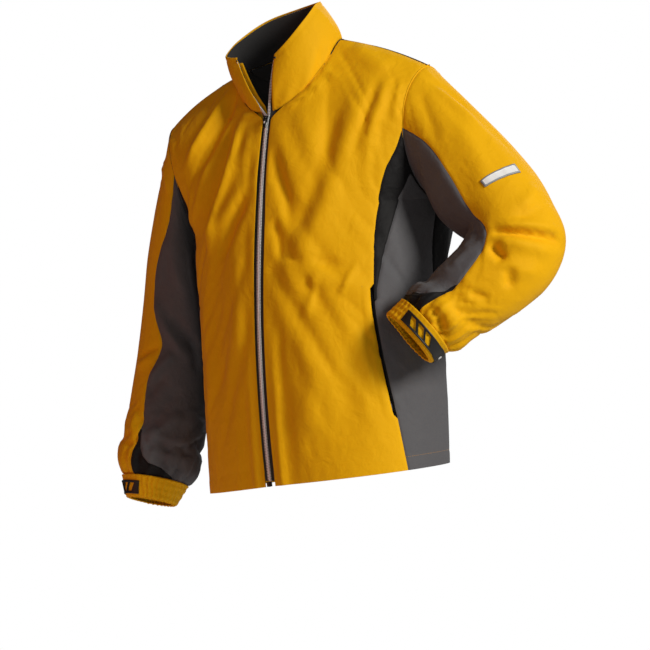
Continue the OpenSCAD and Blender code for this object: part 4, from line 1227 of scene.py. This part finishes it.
slider_parts = [wedge_plate(-2.5, 1.5), wedge_plate(2.25, 1.0), block((0.6, 4, 1.6), 0.2, (0, 0, 4.6))]
slider_parts += [block((1.4, 4.0, 4.6), 0.6, (k, -5.2, 1.7)) for k in (-2.3, 2.3)]
slider_parts += [block((5.6, 1.1, 1.2), 0.4, (0, -7.0, 3.5))]
points, faces = joined([placed(part, slider_place, *slider_axes) for part in slider_parts])
slider = mesh_piece("chain_slider", points, faces, [black_zinc])
declare(slider, ["zip_slider"], "zip_slider")
pull_at = np.array([0, -5.25, 1.4])
pull_parts = [block((5.0, 1.2, 1.2), 0.45, pull_at), block((2.2, 1.4, 5.4), 0.5, pull_at + [0, 0, -2.7]),
              block((6.4, 2.0, 13.2), 0.9, pull_at + [0, 0, -11.3], 3)]
points, faces = joined([placed(part, slider_place, *slider_axes) for part in pull_parts])
pull = mesh_piece("chain_pull", points, faces, [black_rubber])
declare(pull, ["zip_pull"], "zip_pull")
points, faces = placed(block((2.6, 0.6, 3.6), 0.25, pull_at + [0, -1.1, -8.2]), slider_place, *slider_axes)
inlay = mesh_piece("chain_pull_inlay", points, faces, [badge_white])
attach(inlay, "zip_pull")

# The storm flap: a strip of shell cloth behind the zip on the wearer's right, up to the collar.
rows = []
for h in np.linspace(-0.985, 0.93, 80):
    q = np.linspace(0.004, 0.062, 7)
    p = body_at(-1, q, h + 0 * q)
    depth = 6.5 * rise(q, 0, 0.02) + 0.5
    rows.append(p + np.array([0, 1.0, 0]) * (depth[:, None] + 1.0))
for t in np.linspace(0.1, 0.9, 14):
    a = collar_at(np.array([-0.93]), np.array([t]))[0] + np.array([16.0 * (1 - 0.35 * t), 5, 0])
    b = collar_at(np.array([-0.87]), np.array([t]))[0] + np.array([0, 6, 0])
    rows.append(a + (b - a) * np.linspace(0, 1, 7)[:, None])
flap = sheet_piece("storm_flap_cloth", np.array(rows), [yellow], -1)
declare(flap, ["storm_flap"], "shell")

# The sleeves: yellow along the top, grey underneath, with a black wedge that widens towards the
# cuff. Each is sewn into the armhole.
SLEEVE_FRONT = {-1: [[0, 172], [0.12, 178], [0.3, 170], [0.42, 177], [0.52, 194], [0.65, 180], [0.8, 184],
                     [0.93, 176]],
                1: [[0, 176], [0.12, 166], [0.24, 171], [0.36, 183], [0.48, 184], [0.6, 158], [0.72, 144],
                    [0.82, 138], [0.93, 146]]}
SLEEVE_BACK = [[0, 6], [0.3, -8], [0.65, 4], [0.93, -2]]
WEDGE = [[0.8, 3], [0.86, 10], [0.89, 24], [0.91, 50], [0.93, 75]]
CUFF_START = 0.935
SLEEVE_LENGTH = {1: 545, -1: 655}


def tie_to_shoulder(piece):
    """Bakes the placement of a sleeve's piece that starts at the shoulder into its mesh."""
    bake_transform(piece)


def sleeve_panel(name, side, s0, s1, low, high, width, cloth):
    """One panel of a sleeve between two seams, from s0 to s1 along it, about width millimetres across."""
    rows = s0 + (s1 - s0) * eased(SLEEVE_LENGTH[side] * (s1 - s0))
    columns = eased(width)
    ss = rows[:, None] * np.ones(len(columns))[None]
    aa = low(ss) + (high(ss) - low(ss)) * columns[None]
    g = sleeve_at(side, aa, ss)
    n = grid_normals(g) * side
    left, right, bottom, top = distances(g)
    lift = folded(g, sleeve_folds[side]) + seam_dip(left) + seam_dip(right)
    lift += (seam_dip(bottom, 1.8, 3) if s0 < 0.01 else 0) + seam_dip(top, 1.4, 3) + gather(side, aa, ss)
    g = g + n * lift[..., None]
    if s0 < 0.01:
        g[0] = sleeve_at(side, aa[0], 0 * aa[0])
    piece = sheet_piece(SIDE_NAME[side] + name + "_cloth", g, [cloth, lining], side)
    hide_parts(SIDE_NAME[side] + name)
    if s0 < 0.01:
        tie_to_shoulder(piece)
    else:
        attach(piece, SIDE_NAME[side] + "_sleeve")


def gather(side, a, s):
    """The fullness that the elastic draws in above the cuff."""
    t = rise(s, 0.80, 0.925)
    swell = 7.0 * np.exp(-((s - 0.90) / 0.03) ** 2) * (s < 0.935)
    folds = 2.6 * np.sin(np.radians(a) * 13 + 5 * s) + 1.6 * np.sin(np.radians(a) * 29 + 30 * s + 1)
    return swell * (0.6 + 0.4 * np.sin(np.radians(a) * 3 + side)) + folds * t * rise(0.937 - s, 0, 0.012)


for side in SIDES:
    front = lambda s, side=side: keyed(SLEEVE_FRONT[side], s)
    back = lambda s: keyed(SLEEVE_BACK, s)
    sleeve_panel("_sleeve_top", side, 0, 0.936, back, front, 230, yellow)
    sleeve_panel("_sleeve_under", side, 0, 0.936,
                 lambda s: front(s) + np.where(s < 0.8, 0, keyed(WEDGE, s)), lambda s: 360 + back(s),
                 210, grey)
    sleeve_panel("_sleeve_wedge", side, 0.8, 0.936, front, lambda s: front(s) + keyed(WEDGE, s), 60, black)

# The cuffs: a casing of shell cloth over wide elastic, drawn into ribs and held by three rows of
# stitches, with a lined mouth; the ribs lie flatter under the tab.
TAB_START = {-1: 190, 1: 160}
TAB_END = {-1: 60, 1: 15}


def cuff_grid(side, rows, inset=0.0):
    """Points, normals and places along the ribbed cuff, inset by that many millimetres."""
    s, a = np.meshgrid(rows, np.linspace(-90, 270, 241)[:-1], indexing="ij")
    g = sleeve_at(side, a, s)
    n = unit(np.cross(np.roll(g, -1, 1) - np.roll(g, 1, 1), np.gradient(g, axis=0))) * side
    t = (s - CUFF_START) / (1 - CUFF_START)
    angle = np.radians(a)
    bands = 0.5 - 0.5 * np.cos(2 * np.pi * 3.5 * t)
    ribs = 1.1 * np.sin(angle * 34 + 0.8 * np.sin(angle * 5) + 1.3 * np.sin(6 * t))
    ribs = (ribs + 0.5 * np.sin(angle * 61 + 2)) * (0.35 + 0.65 * bands)
    under_tab = rise(a, TAB_END[side] - 12, TAB_END[side]) * rise(TAB_START[side] + 12 - a, 0, 12)
    lift = (1.6 * bands + ribs) * (1 - 0.75 * under_tab) - inset
    return g + n * lift[..., None], n, t


for side in SIDES:
    label = SIDE_NAME[side]
    g, n, t = cuff_grid(side, np.linspace(CUFF_START, 1.0, 30))
    axis = unit(g[-1].mean(0) - g[0].mean(0))
    lip = [g[-1:] - n[-1:] * (1 - math.cos(b)) * 1.6 + axis * math.sin(b) * 1.6
           for b in (0.6, 1.2, 1.9, 2.6, 3.1)]
    inside = cuff_grid(side, np.linspace(0.998, CUFF_START, 14), 3.4)[0]
    cuff = sheet_piece(label + "_cuff_casing", np.concatenate([g] + lip + [inside]), [yellow], side,
                       closed=True, thickness=0.5)
    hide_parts(label + "_cuff")
    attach(cuff, label + "_sleeve")

# The cuff tabs: soft moulded bands, sewn on at one end, with three slanted windows there and a
# solid ridged grip at the other; under each, a strip of loop tape on the cuff.
TAB_LOW, TAB_HIGH = 0.951, 0.989
CELL_SIDES = (((-1, 0), (3, 0)), ((1, 0), (1, 2)), ((0, -1), (0, 1)), ((0, 1), (2, 3)))


def wrist_point(side, a, s, lift):
    """Points over the cuff at the angle a and the place s, lifted off the sleeve."""
    p = sleeve_at(side, a, s)
    e = 0.5
    n = unit(np.cross(sleeve_at(side, a + e, s) - sleeve_at(side, a - e, s),
                      sleeve_at(side, a, s + 0.004) - sleeve_at(side, a, s - 0.004))) * side
    return p + n * np.asarray(lift)[..., None]


for side in SIDES:
    label = SIDE_NAME[side]
    along, across = 150, 22
    u, v = np.meshgrid(np.linspace(0, 1, along + 1), np.linspace(0, 1, across + 1), indexing="ij")
    slant = 0.14 * rise(u, -0.04, 0.16) * rise(0.64 - u, 0, 0.16)
    a = mix(TAB_START[side], TAB_END[side], u + (v - 0.5) * slant)
    width = 1 + 0.10 * rise(u, 0.62, 0.68) - 0.12 * rise(u, 0.96, 1.0)
    s = mix(TAB_LOW, TAB_HIGH, 0.5 + (v - 0.5) * width)
    from_rim = 0.5 - np.abs(v - 0.5)
    grip = rise(u, 0.70, 0.72) * rise(0.93 - u, 0, 0.02) * rise(from_rim, 0.08, 0.16)
    ridges = 0.35 * np.cos((u - 0.7) * 2 * np.pi * 26) * grip
    rim = 0.5 * rise(np.abs(v - 0.5), 0.36, 0.42) * rise(from_rim, 0, 0.03)
    base_lift = 3.2 + 1.0 * rise(u, 0, 0.06)
    window = np.zeros((along, across), bool)
    for k in range(3):
        first = int((0.11 + 0.13 * k) * along)
        window[first:first + int(0.095 * along), 4:-4] = True
    top_g = wrist_point(side, a, s, base_lift + 1.7 + ridges + rim)
    low_g = wrist_point(side, a, s, base_lift)
    ids = np.arange((along + 1) * (across + 1)).reshape(along + 1, across + 1)
    count = ids.size
    faces = []
    for i in range(along):
        for j in range(across):
            if window[i, j]:
                continue
            q = (ids[i, j], ids[i + 1, j], ids[i + 1, j + 1], ids[i, j + 1])
            faces.append(tuple(int(x) for x in q))
            faces.append(tuple(int(x) + count for x in q[::-1]))
            for (di, dj), (p0, p1) in CELL_SIDES:
                ni, nj = i + di, j + dj
                if not (0 <= ni < along and 0 <= nj < across) or window[ni, nj]:
                    faces.append((int(q[p1]), int(q[p0]), int(q[p0]) + count, int(q[p1]) + count))
    tab = mesh_piece(label + "_wrist_tab", np.concatenate([top_g.reshape(-1, 3), low_g.reshape(-1, 3)]),
                     [f[::side] for f in faces], [black_rubber], smooth=False)
    declare(tab, [label + "_cuff_tab"], label + "_cuff_tab")
    u, v = np.meshgrid(np.linspace(0.78, 0.86, 9), np.linspace(0.36, 0.66, 7), indexing="ij")
    a = mix(TAB_START[side], TAB_END[side], u)
    mark = sheet_piece(label + "_wrist_tab_mark",
                       wrist_point(side, a, mix(TAB_LOW, TAB_HIGH, v), 5.9 + 0 * u), [badge_white], -side,
                       thickness=0.9)
    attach(mark, label + "_cuff_tab")
    u, v = np.meshgrid(np.linspace(0.56, 0.96, 30), np.linspace(0.1, 0.9, 6), indexing="ij")
    a = mix(TAB_START[side], TAB_END[side], u)
    g = wrist_point(side, a, mix(TAB_LOW, TAB_HIGH, v), 2.9 + 0 * u)
    patch = sheet_piece(label + "_wrist_loop_tape", g, [lining], -side, thickness=0.6)
    declare(patch, [label + "_loop_patch"], label + "_sleeve")

# A small blank badge on the left upper sleeve: white, with a grey rim.
BADGE_RIM = 2.6
u, v = np.meshgrid(np.linspace(0, 1, 41), np.linspace(0, 1, 15), indexing="ij")
g = sleeve_at(1, mix(152, 104, u), mix(0.33, 0.36, v))
n = -grid_normals(g)
n = n * np.sign(np.sum(n * (g - sleeve_middle(1, np.array(0.345))), -1, keepdims=True))
edge = np.minimum(np.minimum(u, 1 - u) * 50, np.minimum(v, 1 - v) * 17)
padding = 0.5 + 0.9 * rise(edge, 0, 1.2) + 0.4 * rise(edge, BADGE_RIM + 0.6, BADGE_RIM)
g = g + n * (folded(g, sleeve_folds[1]) + padding)[..., None]
ids = np.arange(g.shape[0] * g.shape[1]).reshape(g.shape[:2])
cells = quads(ids)
badge = mesh_piece("upper_sleeve_badge", g.reshape(-1, 3), cells, [badge_white, badge_grey])
middle_edge = (edge[:-1, :-1] + edge[1:, 1:]) / 2
for polygon, value in zip(badge.data.polygons, middle_edge.reshape(-1)):
    polygon.material_index = 1 if value < BADGE_RIM else 0
solid = badge.modifiers.new("thickness", "SOLIDIFY")
solid.thickness = 0.0012
solid.offset = 0
declare(badge, ["sleeve_badge"], "left_sleeve")
